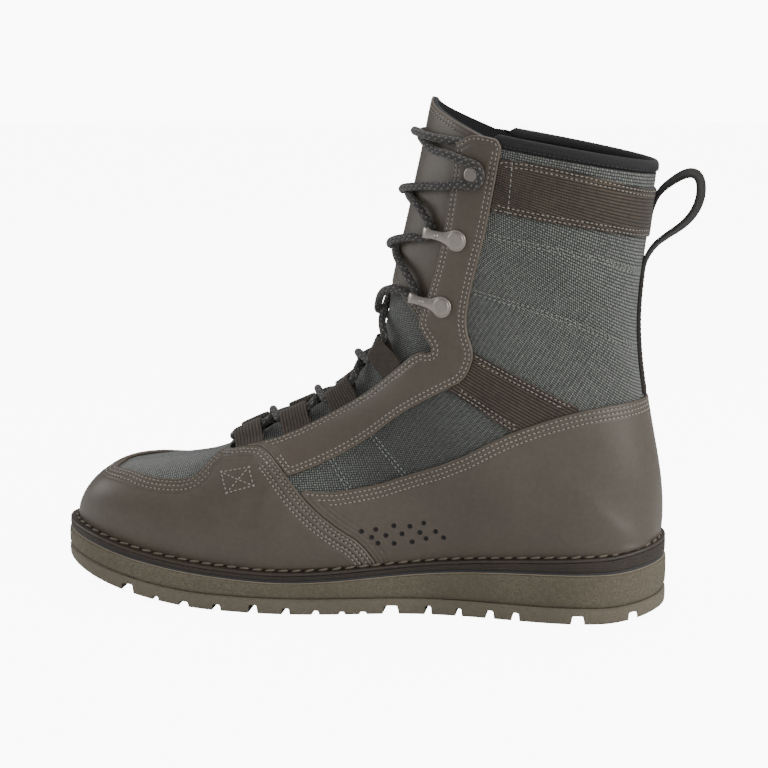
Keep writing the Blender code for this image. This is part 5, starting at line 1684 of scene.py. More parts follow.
@dataclass
class Sole:
    """Lug layer, wedge, rubber layer, leather midsole, welt and footbed."""

    kit: Kit
    step: float = 0.6 * MM
    lug_reach: float = 20 * MM
    slot: tuple[float, float] = (3 * MM, 2 * MM)
    soft: float = 0.9 * MM
    welt_lap: float = 1.5 * MM
    insole_gap: float = 1.2 * MM
    insole: float = 3.0 * MM
    face_reach: float = 14 * MM
    seam_place: float = 0.50

    def band(self, name: str, low: Callable, high: Callable, inset: float, bulge: float, soft: float,
             groove: float = 0.0, levels: int = 10) -> bpy.types.Object:
        """Layer of the sole with a rounded edge and level faces.

        Args:
            name: The piece's name.
            low: Height of its underside for places along the sole.
            high: Height of its top.
            inset: Distance inside the sole's outline.
            bulge: How far its edge swells at mid height.
            soft: Radius of its rounded rims.
            groove: Depth of a groove just above its underside.
            levels: Number of rings up its edge.

        Returns:
            The object.
        """
        base = LAST.inset(0, inset)
        length = run_length(base)
        lows, highs = low(base[:, 0]), high(base[:, 0])
        thick = float(np.mean(highs - lows))
        rings, uv = [], []
        for level in range(levels + 1):
            share = level / levels
            rise = share * (highs - lows)
            rim = min(share * thick, thick - share * thick)
            back = soft - math.sqrt(max(soft ** 2 - (soft - min(rim, soft)) ** 2, 0))
            pull = back - bulge * math.sin(math.pi * share)
            if groove and 0 < level <= 2:
                pull += groove * (1 if level == 1 else 0.35)
            rings.append(np.column_stack([LAST.inset(0, inset + pull), lows + rise]))
            uv.append(np.column_stack([length, rise]))
        for deep in (soft + 1 * MM, self.face_reach):
            ring = LAST.inset(0, inset + deep)
            rings.append(np.column_stack([ring, high(ring[:, 0])]))
            rings.insert(0, np.column_stack([ring, low(ring[:, 0])]))
            uv.append(np.column_stack([length, np.full(len(ring), 0.02)]))
            uv.insert(0, np.column_stack([length, np.full(len(ring), -0.02)]))
        points, faces = ring_loft(np.array(rings))
        self.fill_ends(faces, len(points), len(base))
        return outwards(mesh_piece(name, points, faces, np.concatenate(uv)))

    def fill_ends(self, faces: list, count: int, size: int) -> None:
        """Close the first and last ring with strips across the sole.

        Args:
            faces: The loft's faces, which the strips join.
            count: Number of its points.
            size: Number of points in each ring.
        """
        for first, turn in ((0, False), (count - size, True)):
            for n in range(size // 2):
                corners = first + n, first + n + 1, first + (size - n - 1) % size, first + (size - n) % size
                corners = tuple(dict.fromkeys(corners))
                if len(corners) > 2:
                    faces.append(corners if turn else corners[::-1])

    def notch_cutter(self) -> bpy.types.Object:
        """Solid of every notch and slot of the lug layer."""
        shell = bmesh.new()
        for along, width, depth in NOTCHES:
            x = LAST.heel_back - along * LAST.sole_length
            half = width * LAST.sole_length / 2
            top = float(LAST.ground(x)) + depth * LAST.lug_layer
            for side in SIDES.values():
                edge = side * LAST.ball_width
                inner = float(LAST.half_width(LAST.outline, x, side)) - side * self.lug_reach
                self.notch(shell, x, half, edge, inner, top)
        width, deep = self.slot
        for along in SPINE_SLOTS:
            x = LAST.heel_back - along * LAST.sole_length
            half = 0.10 * LAST.ball_width
            self.notch(shell, x, width / 2, -half, half, float(LAST.ground(x)) + deep, 0.9)
        mesh = bpy.data.meshes.new("notch_cutter")
        shell.to_mesh(mesh)
        shell.free()
        cutter = bpy.data.objects.new("notch_cutter", mesh)
        bpy.context.scene.collection.objects.link(cutter)
        return outwards(cutter)

    def notch(self, shell: bmesh.types.BMesh, x: float, half: float, start: float, end: float, top: float,
              taper: float = 0.72) -> None:
        """Add one notch with a rounded roof.

        Args:
            shell: Mesh that it goes into.
            x: Its middle along the sole.
            half: Half its width at the ground.
            start: Its outer end across the sole.
            end: Its inner end.
            top: Height of its roof.
            taper: Share of its width that is left at the roof.
        """
        bottom = -LAST.lug_layer
        profile = [(-half * 1.15, bottom)]
        corner = min(half * 0.5, (top + LAST.lug_layer) * 0.5, 1.2 * MM)
        for turn in np.linspace(math.pi, 0, 9):
            way = math.cos(turn)
            inner = half * taper - corner
            profile.append((math.copysign(inner, way) + way * corner if abs(way) > 1e-6 else 0.0,
                            top - corner + math.sin(turn) * corner))
        profile.append((half * 1.15, bottom))
        rings = [[shell.verts.new((x + a, y, b)) for a, b in profile] for y in (start, end)]
        count = len(profile)
        for j in range(count):
            shell.faces.new([rings[0][j], rings[0][(j + 1) % count], rings[1][(j + 1) % count], rings[1][j]])
        shell.faces.new(rings[0][::-1])
        shell.faces.new(rings[1])

    def outsole(self) -> None:
        """Lug layer with its notches."""
        obj = self.band("sole_lugs", LAST.ground, lambda x: LAST.layer_top(x, 0), 0, 0.15 * MM, self.soft)
        cutter = self.notch_cutter()
        cut = obj.modifiers.new("notches", "BOOLEAN")
        cut.operation = "DIFFERENCE"
        cut.solver = "EXACT"
        cut.object = cutter
        graph = bpy.context.evaluated_depsgraph_get()
        mesh = bpy.data.meshes.new_from_object(obj.evaluated_get(graph))
        obj.modifiers.clear()
        obj.data = mesh
        bpy.data.objects.remove(cutter)
        mesh.materials.clear()
        mesh.materials.append(self.kit.materials["lug_rubber"])
        mesh.set_sharp_from_angle(angle=math.radians(38))
        dress(obj, "lug_rubber", "outsole")

    def layers(self) -> None:
        """Wedge, rubber layer and leather midsole."""
        top, step = LAST.layer_top, self.step
        for name, finish, slot, nodes, low, high, inset, bulge, soft, more in (
                ("sole_wedge", "wedge_foam", "wedge_foam", ("wedge",), lambda x: top(x, 0),
                 lambda x: top(x, 1), step * 0.4, 0.35 * MM, 1.1 * MM, {"groove": 0.55 * MM, "levels": 14}),
                ("sole_rubber", "dark_rubber", "dark_rubber", ("rubber_midsole",), lambda x: top(x, 1),
                 lambda x: top(x, 2), step * 1.6, 0.0, 0.3 * MM, {}),
                ("sole_line", "pale_line", "dark_rubber", (), lambda x: top(x, 1) - 0.2 * MM,
                 lambda x: top(x, 1) + 0.35 * MM, step * 1.1, 0.0, 0.2 * MM, {"levels": 4}),
                ("sole_midsole", "edge_leather", "edge_leather", ("leather_midsole",), lambda x: top(x, 2),
                 lambda x: top(x, 3), step, 0.1 * MM, 0.4 * MM, {})):
            layer = self.band(name, low, high, inset, bulge, soft, **more)
            layer.data.materials.append(self.kit.materials[finish])
            dress(layer, slot, *nodes)

    def welt(self) -> None:
        """Leather flange with rounded edge, stitched down in its crease."""
        outer = LAST.inset(0, self.step)
        inner = LAST.inset(1.0, LAST.wall + self.welt_lap)
        x = outer[:, 0]
        low = LAST.layer_top(x, 3)
        thick = LAST.welt_thickness
        rings, uv = [], []
        length = run_length(outer)
        span = np.linalg.norm(outer - inner, axis=1)
        crest = LAST.welt_margin(x) / span
        for across, rise in (*WELT_EDGE, *((share, 1.0) for share in np.linspace(0.2, 0.95, 9)), *WELT_FOOT):
            place = outer + (inner - outer) * across
            near = np.clip((across - 0.30 * crest) / (0.62 * crest), 0, 1) * (across < 1)
            bump = 0.55 * MM * ease(near) * (rise >= 1)
            dip = 0.25 * MM * np.exp(-((across - self.seam_place * crest) / 0.07) ** 2) * (rise >= 1)
            rings.append(np.column_stack([place, low + thick * rise + bump - dip]))
            uv.append(np.column_stack([length, np.full(len(x), across * 0.012 + rise * thick)]))
        rings.append(rings[0].copy())
        uv.append(uv[0].copy())
        points, faces = ring_loft(np.array(rings))
        obj = outwards(mesh_piece("welt_flange", points, faces, np.concatenate(uv),
                                  materials=[self.kit.materials["welt"]]))
        dress(obj, "edge_leather", "welt")
        seam_ring = outer + (inner - outer) * (self.seam_place * crest)[:, None]
        seam = np.column_stack([seam_ring, LAST.layer_top(seam_ring[:, 0], 3) + thick + 0.45 * MM])
        seam = np.concatenate([seam, seam[:1]])
        normals = np.zeros_like(seam)
        outward = unit(outer - inner)
        normals[:, :2] = np.concatenate([outward, outward[:1]]) * 0.45
        normals[:, 2] = 0.89
        self.kit.sew("welt_stitches", [Seam(seam, normals)], "edge_leather", pitch=6.6 * MM, length=2.7 * MM,
                     width=0.75 * MM, thread="welt_thread", turn=0.16)

    def footbed(self) -> None:
        """Felted insole, raised a little at its edge."""
        rings, uv = [], []
        deep = LAST.wall + self.welt_lap + self.insole_gap
        length = run_length(LAST.inset(1.0, deep))
        for inwards, rise in FOOTBED_EDGE:
            ring = LAST.inset(1.0, deep + inwards * MM)
            rings.append(np.column_stack([ring, LAST.layer_top(ring[:, 0], 3) + self.insole * rise]))
            uv.append(np.column_stack([length, np.full(len(ring), inwards * MM)]))
        points, faces = ring_loft(np.array(rings))
        self.fill_ends(faces, len(points), len(length))
        obj = outwards(mesh_piece("footbed", points, faces, np.concatenate(uv),
                                  materials=[self.kit.materials["insole_felt"]]))
        dress(obj, "insole_felt", "insole")

    def build(self) -> None:
        """Build and dress the sole."""
        self.outsole()
        self.layers()
        self.welt()
        self.footbed()


def back_edge(height: Array | float) -> Array | float:
    """Place of the form's back at heights above the floor."""
    back = LAST.form(np.linspace(HEEL_ROW, TOP_ROW, 90), np.zeros(90), MEDIAL)
    return np.interp(height, back[:, 2], back[:, 0])


def rippled(flat: Array, table: Sequence) -> Array:
    """Height of soft ridges and valleys at side view places.

    Args:
        flat: X and Z of each place.
        table: Middle, way, half length, width and height of each ripple.

    Returns:
        A height for each place.
    """
    wave = np.zeros(len(flat))
    for middle, way, half, width, height in table:
        way = unit(np.array(way))
        rel = flat - middle
        along = rel @ way
        across = rel @ np.array((-way[1], way[0]))
        wave += height * np.exp(-(across / width) ** 2) * np.exp(-(along / half) ** 4)
    return wave


@dataclass
class Upper:
    """Fabric shell, leather panels, straps, collar band and binding."""

    kit: Kit
    leather: float = 1.6 * MM
    webbing: float = 1.0 * MM
    grid: float = 2.4 * MM
    quilt_depth: float = 0.9 * MM
    binding_radius: float = 2.3 * MM
    binding_start: float = 0.62

    @cached_property
    def outlines(self) -> dict[str, Array]:
        """Side view outlines of the panels."""
        return {
            "throat": outline_of(THROAT),
            "vamp": outline_of(VAMP_TOP, VAMP_REAR, VAMP_FOOT),
            "quarter": outline_of(QUARTER_TOP, QUARTER_FOOT),
            "eyestay": outline_of(EYESTAY_TOP, EYESTAY_REAR, EYESTAY_FRONT),
            "strap": outline_of(STRAP_TOP, STRAP_FOOT),
            "band": outline_of(BAND_TOP, BAND_FOOT),
        }

    def line(self, shares: Sequence) -> Array:
        """Side view line in metres, softened as the outlines are."""
        return smoothed(LAST.side_points(shares), 1)

    def quilting(self, values: Array) -> Array:
        """Depth of the fabric along its quilted rows, and its soft fullness between them."""
        flat = values[:, [0, 2]]
        drop = np.zeros(len(values))
        for row in QUILT_ROWS:
            gap = line_distance(flat, self.line(row))
            drop -= self.quilt_depth * np.exp(-(gap / (2.6 * MM)) ** 2)
        gap = line_distance(flat, self.line(SHAFT_SEAM))
        drop -= self.quilt_depth * 0.6 * np.exp(-(gap / (2.2 * MM)) ** 2)
        return drop * self.near_back(flat)

    def near_back(self, flat: Array) -> Array:
        """Share of the relief that is left near the back line, where the back strap lies."""
        return ease((back_edge(flat[:, 1]) - flat[:, 0]) / (10 * MM))

    def folds(self, values: Array) -> Array:
        """Soft ripples of the shaft's cloth, placed one by one."""
        flat = values[:, [0, 2]]
        wave = 0.25 * MM * np.sin(flat[:, 0] / (7 * MM)) * np.sin(flat[:, 1] / (11 * MM) + 1)
        return 1.6 * (wave + rippled(flat, FOLDS)) * self.near_back(flat)

    def shell(self) -> None:
        """Woven fabric shell with its black lining, open at the throat and the collar."""
        sheet = Sheet.grid((0.3, TOP_ROW), (0.0, 1.0), self.grid)
        sheet.values[:, FIELD] = 1.0
        sheet.cut(depth_out(self.outlines["throat"]))
        panel = Panel("upper_fabric", sheet, 0.0, 0.0, round_off=0.4 * MM)
        obj = panel.build([self.kit.materials["fabric"], self.kit.materials["lining"]],
                          lambda values: self.quilting(values) + self.folds(values), lining=-LAST.wall, rim=1)
        dress(obj, "fabric", "upper")

    def cloth_height(self, flat: Array) -> Array:
        """Height of the shell's face over the form at side view places."""
        values = np.zeros((len(flat), WIDTH))
        values[:, [0, 2]] = flat
        return self.quilting(values) + self.folds(values)

    def seam_height(self, flat: Array) -> Array:
        """Height of a seam that runs over the fabric and on over the collar band."""
        on_band = inside_depth(flat, self.outlines["band"]) > 0
        return np.where(on_band, LAST.gap + self.webbing + 0.05 * MM, self.cloth_height(flat) + 0.12 * MM)

    def fabric_seams(self) -> None:
        """Double rows of stitches along the quilting and down the sides."""
        seams = []
        for side in SIDES.values():
            for row in QUILT_ROWS:
                for shift in (-0.9 * MM, 0.9 * MM):
                    line = self.line(row) + (0, shift)
                    seams += surface_seam(line, side, lambda flat: self.cloth_height(flat) + 0.12 * MM)
            for row in (*SIDE_SEAMS, SHAFT_SEAM):
                line = LAST.side_points(row)
                way = line[-1] - line[0]
                normal = np.array((-way[1], way[0])) / np.linalg.norm(way)
                shifts = (0.0,) if row is SHAFT_SEAM else (-0.9 * MM, 0.9 * MM)
                for shift in shifts:
                    seams += surface_seam(line + normal * shift, side, self.seam_height)
        self.kit.sew("fabric_stitches", seams, "fabric", width=0.27 * MM, thread="grey_thread", holes=False)

    def vamp(self) -> None:
        """Vamp leather round the toe, with rows of stitches along its top and its rear."""
        outlines = self.outlines
        sheet = Sheet.grid((0.3, 9.8), (0.0, 1.0), 1.9 * MM)
        sheet.cut(depth_in(outlines["vamp"]), depth_out(outlines["throat"], 0.4 * MM))
        top = self.line(VAMP_TOP)
        turn = 8
        panel = Panel("vamp", sheet, LAST.gap, LAST.gap + self.leather + 0.2 * MM,
                      rows={"front": TRIPLE_ROWS, "back": TRIPLE_ROWS[:2],
                            "rear": (1.7 * MM, 3.6 * MM, 6.4 * MM, 8.3 * MM)},
                      lines={"front": top[:-turn + 1], "back": top[-turn:], "rear": self.line(VAMP_REAR),
                             "throat": self.line(THROAT[10:18]),
                             "foot": np.array(((-0.28, 0.03), (-0.10, 0.01)))})
        obj = panel.build([self.kit.materials["leather"]], self.toe_creases)
        dress(obj, "leather", "vamp_leather")
        self.kit.sew("vamp_stitches", panel.seams(), "leather")

    def toe_creases(self, values: Array) -> Array:
        """Shallow creases where the foot bends, behind the toes."""
        return rippled(values[:, [0, 2]], TOE_CREASES)

    def quarter(self) -> None:
        """Quarter leather round the heel, under the vamp at its front."""
        outlines = self.outlines
        sheet = Sheet.grid((6.5, 17.2), (0.0, 0.62), 1.9 * MM)
        sheet.cut(depth_in(outlines["quarter"]), depth_out(outlines["vamp"], 0.1 * MM))
        panel = Panel("quarter", sheet, LAST.gap, LAST.gap + self.leather,
                      rows={"top": TRIPLE_ROWS},
                      lines={"top": self.line(QUARTER_TOP), "front": self.line(VAMP_REAR),
                             "foot": np.array(((-0.13, 0.01), (0.05, 0.01)))}, calm=-25 * MM)
        obj = panel.build([self.kit.materials["leather"]])
        dress(obj, "leather", "quarter_leather")
        self.kit.sew("quarter_stitches", panel.seams(), "leather")

    def eyestays(self) -> None:
        """Leather facings that carry the hooks, with double rows along both edges."""
        outlines = self.outlines
        for name, side in SIDES.items():
            sheet = Sheet.grid((6.0, TOP_ROW + 0.5), (0.3, 1.0), 1.8 * MM, (side,))
            sheet.cut(depth_in(outlines["eyestay"]), depth_out(outlines["throat"], 0.1 * MM),
                      depth_out(outlines["vamp"], 0.1 * MM))
            panel = Panel(f"facing_{name}", sheet, LAST.gap, LAST.gap + self.leather,
                          rows={"rear": FACING_ROWS, "front": FACING_ROWS, "top": FACING_ROWS[:1]},
                          lines={"rear": self.line(EYESTAY_REAR), "front": self.line(THROAT[:15]),
                                 "top": self.line(EYESTAY_TOP), "vamp": self.line(VAMP_TOP[7:])})
            obj = panel.build([self.kit.materials["leather"], self.kit.materials["lining"]])
            dress(obj, "leather", f"eyestay_{name}")
            self.kit.sew(f"facing_stitches_{name}", panel.seams(), "leather")

    def webbings(self) -> None:
        """Side straps and the collar band."""
        outlines = self.outlines
        eyestay = {"eyestay": self.line(EYESTAY_REAR)}
        for name, side in SIDES.items():
            sheet = Sheet.grid((9.0, 15.0), (0.05, 0.8), 1.8 * MM, (side,))
            sheet.cut(depth_in(outlines["strap"]), depth_out(outlines["eyestay"], 0.1 * MM),
                      depth_out(outlines["quarter"], 0.1 * MM))
            self.webbing_panel(f"strap_webbing_{name}", f"strap_{name}", f"strap_stitches_{name}", sheet,
                               {"top": self.line(STRAP_TOP), "foot": self.line(STRAP_FOOT), **eyestay,
                                "quarter": self.line(QUARTER_TOP)}, self.strap_cloth)
        sheet = Sheet.grid((16.0, TOP_ROW), (0.0, 0.8), 1.8 * MM)
        sheet.cut(depth_in(outlines["band"]), depth_out(outlines["eyestay"], 0.1 * MM))
        self.webbing_panel("collar_webbing", "collar_band", "collar_stitches", sheet,
                           {"top": self.line(BAND_TOP), "foot": self.line(BAND_FOOT), **eyestay},
                           self.band_cloth)

    def webbing_panel(self, name: str, node: str, stitches: str, sheet: Sheet, lines: dict[str, Array],
                      cloth: Callable[[Sheet], None]) -> None:
        """Build, dress and sew one piece of webbing.

        Args:
            name: The piece's name.
            node: Name of its solid.
            stitches: Name of its stitches.
            sheet: The sheet, cut to its outline.
            lines: The outline's named lines in side view.
            cloth: Lays the cloth on the sheet.
        """
        panel = Panel(name, sheet, LAST.gap, LAST.gap + self.webbing, lines=lines,
                      rows={"top": WEBBING_ROWS, "foot": WEBBING_ROWS}, dent=0.2 * MM, round_off=0.6 * MM)
        cloth(sheet)
        dress(panel.build([self.kit.materials["webbing"]]), "webbing", node)
        self.kit.sew(stitches, panel.seams(), "webbing", width=0.27 * MM)

    def strap_cloth(self, sheet: Sheet) -> None:
        """Turn the strap's cloth so that its ribs run along it."""
        ends = LAST.side_points((STRAP_TOP[0], STRAP_TOP[-1]))
        way = unit(ends[1] - ends[0])
        flat = sheet.values[:, [0, 2]]
        sheet.values[:, UV] = np.stack([flat @ way, flat @ np.array((-way[1], way[0]))], 1)

    def band_cloth(self, sheet: Sheet) -> None:
        """Lay the band's cloth level, so that its ribs run round the collar."""
        values = sheet.values
        level = LAST.form(values[:, ROW], np.full(len(values), 0.3), MEDIAL)[:, 2]
        around = values[:, SHARE] * 0.12 * values[:, SIDE]
        values[:, UV] = np.stack([around, level], 1)

    def binding(self) -> None:
        """Rolled black binding on the collar's edge."""
        shares = np.linspace(self.binding_start, 0, 46)
        way = [(share, MEDIAL) for share in shares] + [(share, LATERAL) for share in shares[-2::-1]]
        line, ups = [], []
        for share, side in way:
            edge = LAST.on_form(TOP_ROW, share, side, -LAST.wall / 2)
            climb = unit(LAST.on_form(TOP_ROW + 0.2, share, side, -LAST.wall / 2) - edge)
            line.append(edge + climb * (self.binding_radius + LAST.gap))
            ups.append(LAST.outward(TOP_ROW, share, side))
        radius = self.binding_radius
        turns = round_turns(18)

        def profile(share: float) -> Array:
            """Section of the binding: flatter at its sides, hanging a little over the wall."""
            end = min(share, 1 - share)
            scale = radius * (0.55 + 0.45 * ease(end / 0.01))
            rise = np.sin(turns) * scale
            return np.stack([np.cos(turns) * scale * 0.86, np.where(rise < 0, rise * 1.6, rise)], 1)

        rings = swept(np.array(line), np.array(ups), profile)
        points, faces = ring_loft(rings, caps=True)
        length = run_length(line)
        uv = np.stack([np.repeat(length, len(turns)), np.tile(turns * radius, len(line))], 1)
        obj = outwards(mesh_piece("collar_roll", points, faces, uv,
                                  materials=[self.kit.materials["black_trim"]]))
        dress(obj, "black_trim", "collar_binding")
        top = rings[:, 0]
        lower = Seam(top + (0, 0, -0.5 * radius), np.array(ups))
        self.kit.sew("binding_stitches", [lower], "black_trim", width=0.2 * MM, thread="dark_thread")

    def patches(self) -> None:
        """Box of stitches and drain holes in the leather."""
        top = LAST.gap + self.leather + 0.22 * MM
        corners = LAST.side_points(X_BOX)
        corners = corners.mean(0) + (corners - corners.mean(0)) * (0.90, 0.84)
        seams = []
        for side in SIDES.values():
            for a, b in ((0, 1), (1, 2), (2, 3), (3, 0), (0, 2), (1, 3)):
                seams += surface_seam(corners[[a, b]], side, top)
        self.kit.sew("box_stitches", seams, "leather", holes=False)
        self.drains(LAST.gap + self.leather)

    def drains(self, height: float) -> None:
        """Drain holes: dark discs, painted shade of the openings, in a shallow rim."""
        size = 1.0 * MM
        points, faces, slots = [], [], []
        turns = np.linspace(0, 2 * math.pi, 13)[:-1]
        profile = ((1.75, -0.05), (1.5, 0.10), (1.28, 0.13), (1.16, 0.06), (0.0, 0.05))
        for side in SIDES.values():
            spots = LAST.find(np.array(DRAINS) * MM, side)
            for row, share in spots:
                normal = LAST.outward(row, share, side)
                seat = LAST.form(row, share, side) + normal * height
                right = np.cross(normal, (0, 0, 1))
                right /= np.linalg.norm(right)
                up = np.cross(right, normal)
                first = len(points)
                for out, rise in profile:
                    for turn in turns:
                        points.append(seat + (right * math.cos(turn) + up * math.sin(turn)) * size * out
                                      + normal * rise * MM)
                for i in range(len(profile) - 1):
                    for j in range(12):
                        a, b = first + i * 12 + j, first + i * 12 + (j + 1) % 12
                        faces.append((a, b, b + 12, a + 12))
                        # The inner rings and the disc take the dark hole finish: painted shade of the
                        # opening.
                        slots.append(0 if i < 2 else 1)
        obj = mesh_piece("drain_holes", np.array(points), faces,
                         materials=[self.kit.materials["leather"], self.kit.materials["hole"]],
                         slots=np.array(slots), uv=np.zeros((len(points), 2)), edge=np.zeros(len(points)))
        dress(obj, "leather")

    def build(self) -> None:
        """Build and dress the upper."""
        self.shell()
        self.fabric_seams()
        self.vamp()
        self.quarter()
        self.eyestays()
        self.webbings()
        self.binding()
        self.patches()


@dataclass
class Tongue:
    """Tongue: fabric below, a leather panel above, black inside."""

    kit: Kit
    gap: float = 0.9 * MM
    thickness: float = 2.4 * MM
    edge: float = 0.58
    tip: float = 1.35
    leather: float = 1.2 * MM
    panel_foot: float = 12.15

    def raised(self, row: Array, share: Array) -> Array:
        """Section drawn up towards the tip, most at the top of the ridge."""
        pull = ease((row - HEEL_ROW) / (TOP_ROW - HEEL_ROW)) * (share - self.edge) / (1 - self.edge)
        return row + self.tip * pull

    def lift(self, row: Array, share: Array) -> Array:
        """Height of the tongue's face: under the wall at its edges, out in the throat at its middle."""
        below = -(LAST.wall + self.gap)
        return below * (1 - ease((share - 0.80) / 0.20) * ease((row - 6.5) / 0.7))

    def sheet(self, first: float, low: float, step: float) -> Sheet:
        """Sheet of the tongue from a section and a share up."""
        sheet = Sheet.grid((first, TOP_ROW), (low, 1.0), step, warp=self.raised, base=self.lift)
        sheet.values[:, EDGE] = 1.0
        return sheet

    def body(self) -> None:
        """Fabric body with its black inside."""
        sheet = self.sheet(5.5, self.edge, 2.4 * MM)
        sheet.values[:, FIELD] = 0.0
        sheet.measure()
        panel = Panel("tongue_fabric", sheet, -0.4 * MM, -0.1 * MM, round_off=0.5 * MM)
        obj = panel.build([self.kit.materials["fabric"], self.kit.materials["lining"]],
                          lining=-self.thickness, rim=1)
        dress(obj, "fabric", "tongue")

    def panel(self) -> None:
        """Leather panel on the tongue's upper part, with double rows at its foot and top."""
        sheet = self.sheet(10.6, 0.64, 1.7 * MM)
        row = sheet.values[:, ROW]
        sheet.values[:, FIELD] = np.minimum(row - self.panel_foot, TOP_ROW - row)
        sheet.split(FIELD, 0.0, drop=True)
        sheet.values[:, FIELD] = 0.0
        sheet.measure()
        panel = Panel("tongue_leather", sheet, -0.3 * MM, self.leather * 0.6,
                      rows={"foot": TONGUE_ROWS, "top": TONGUE_ROWS},
                      lines={"foot": np.array(((-0.12, 0.150), (-0.07, 0.150))),
                             "top": np.array(((-0.10, 0.262), (-0.04, 0.262))),
                             "side": np.array(((-0.060, 0.17), (-0.045, 0.24)))}, round_off=0.7 * MM)
        obj = panel.build([self.kit.materials["leather"]])
        dress(obj, "leather")
        self.kit.sew("tongue_stitches", panel.seams(), "leather")

    def build(self) -> None:
        """Build and dress the tongue."""
        self.body()
        self.panel()


@dataclass
class BackStrap:
    """Webbing up the back, which leaves it as the pull loop."""

    kit: Kit
    width: float = 11 * MM
    thickness: float = 1.8 * MM
    reach: float = 20 * MM
    webbing: float = 1.0 * MM
    roll: float = 0.34
    loop_end: float = 0.62

    def wrapped(self, rings: Array, line: Array) -> Array:
        """Bend the webbing's sides forward round the boot's back where it lies on it.

        Args:
            rings: Points by station.
            line: Middle line's point of each station.

        Returns:
            The bent points.
        """
        table = np.array(LAST_ROWS)[HEEL_ROW:, 1]
        shares = np.linspace(0, 0.35, 40)
        rings = np.array(rings)
        for ring, middle in zip(rings, line):
            rise = (middle[2] - LAST.side_points(((0, 0),))[0, 1]) / LAST.shaft_rise
            row = np.full(40, HEEL_ROW + np.interp(rise, table, np.arange(len(table))))
            curve = LAST.form(row, shares, MEDIAL)
            off = middle[0] - self.back_x(rise)
            hold = 1 - ease((off - 4 * MM) / (6 * MM))
            near = np.interp(np.abs(ring[:, 1]), -curve[:, 1], curve[:, 0]) - curve[0, 0]
            ring[:, 0] += near * hold
        return rings

    def back_x(self, rise: float) -> float:
        """Place of the upper's back at a rise above the heel's seat."""
        return float(back_edge(LAST.side_points(((0, rise),))[0, 1]))

    def middle(self) -> Array:
        """Middle line of the webbing in side view, from the loop's root round and down."""
        below = self.thickness / 2 - 0.35 * MM
        over_band = below + self.webbing + LAST.gap
        loop = [(self.back_x(rise) + over_band + out * self.reach, LAST.side_points(((0, rise),))[0, 1])
                for out, rise in PULL_LOOP]
        loop = Spline(np.arange(len(loop)), loop)(np.linspace(0, len(loop) - 1, 64))
        straight = [(self.back_x(rise) + below, LAST.side_points(((0, rise),))[0, 1])
                    for rise in np.linspace(BACK_STRAP_RISES[0], BACK_STRAP_RISES[-1], 26)]
        line = np.concatenate([loop, straight])
        line[:6, 0] -= np.linspace(1.6 * MM, 0, 6)
        for _ in range(3):
            line[1:-1] = line[1:-1] * 0.5 + (line[:-2] + line[2:]) * 0.25
        return line

    def build(self) -> None:
        """Build and dress the strap, its stitches and the bar tack under the loop."""
        flat = resampled(self.middle(), 1.6 * MM)
        line = np.stack([flat[:, 0], np.zeros(len(flat)), flat[:, 1]], 1)
        half, thick = self.width / 2, self.thickness / 2
        edge = [(math.cos(a), math.sin(a)) for a in np.linspace(-math.pi / 2, math.pi / 2, 7)]
        right = [((half - thick + c * thick), s * thick) for c, s in edge]
        inner = [(w * half, thick) for w in (0.6, 0.3, 0.0, -0.3, -0.6)]
        left = [(-(half - thick) - c * thick, -s * thick) for c, s in edge]
        under = [(w * half, -thick) for w in (-0.6, -0.3, 0.0, 0.3, 0.6)]
        ring = np.array(right + inner + left + under)
        along = unit(np.gradient(line, axis=0))
        out = np.stack([-along[:, 2], np.zeros(len(line)), along[:, 0]], 1)
        out *= np.sign(out[-1, 0])
        loop_share = np.clip(np.arange(len(line)) / (len(line) * self.loop_end), 0, 1)
        roll = self.roll * np.sin(math.pi * loop_share)[:, None]
        rings = swept(line, np.cos(roll) * (0.0, 1.0, 0.0) + np.sin(roll) * out, lambda share: ring)
        rings = self.wrapped(rings, line)
        points, faces = ring_loft(rings, caps=True)
        length = run_length(line)
        uv = np.stack([np.repeat(length, len(ring)), np.tile(ring[:, 0], len(line))], 1)
        obj = outwards(mesh_piece("pull_strap", points, faces, uv,
                                  materials=[self.kit.materials["strap_webbing"]]))
        dress(obj, "webbing", "back_strap")
        seams = []
        start = int(len(line) * self.loop_end)
        for side in SIDES.values():
            rail = line + out * (thick + 0.05 * MM) + (0, side * (half - 1.6 * MM), 0)
            rail = self.wrapped(rail[:, None], line)[:, 0]
            seams.append(Seam(rail[start:-1], out[start:-1]))
        for spot in (start, start + 3, len(line) - 3):
            across = np.linspace(-half + 1.6 * MM, half - 1.6 * MM, 8)
            bar = line[spot] + out[spot] * (thick + 0.05 * MM) + np.outer(across, (0, 1, 0))
            seams.append(Seam(self.wrapped(bar[None], line[[spot]])[0], np.tile(out[spot], (8, 1))))
        self.kit.sew("pull_stitches", seams, "webbing", width=0.24 * MM, thread="brown_thread")


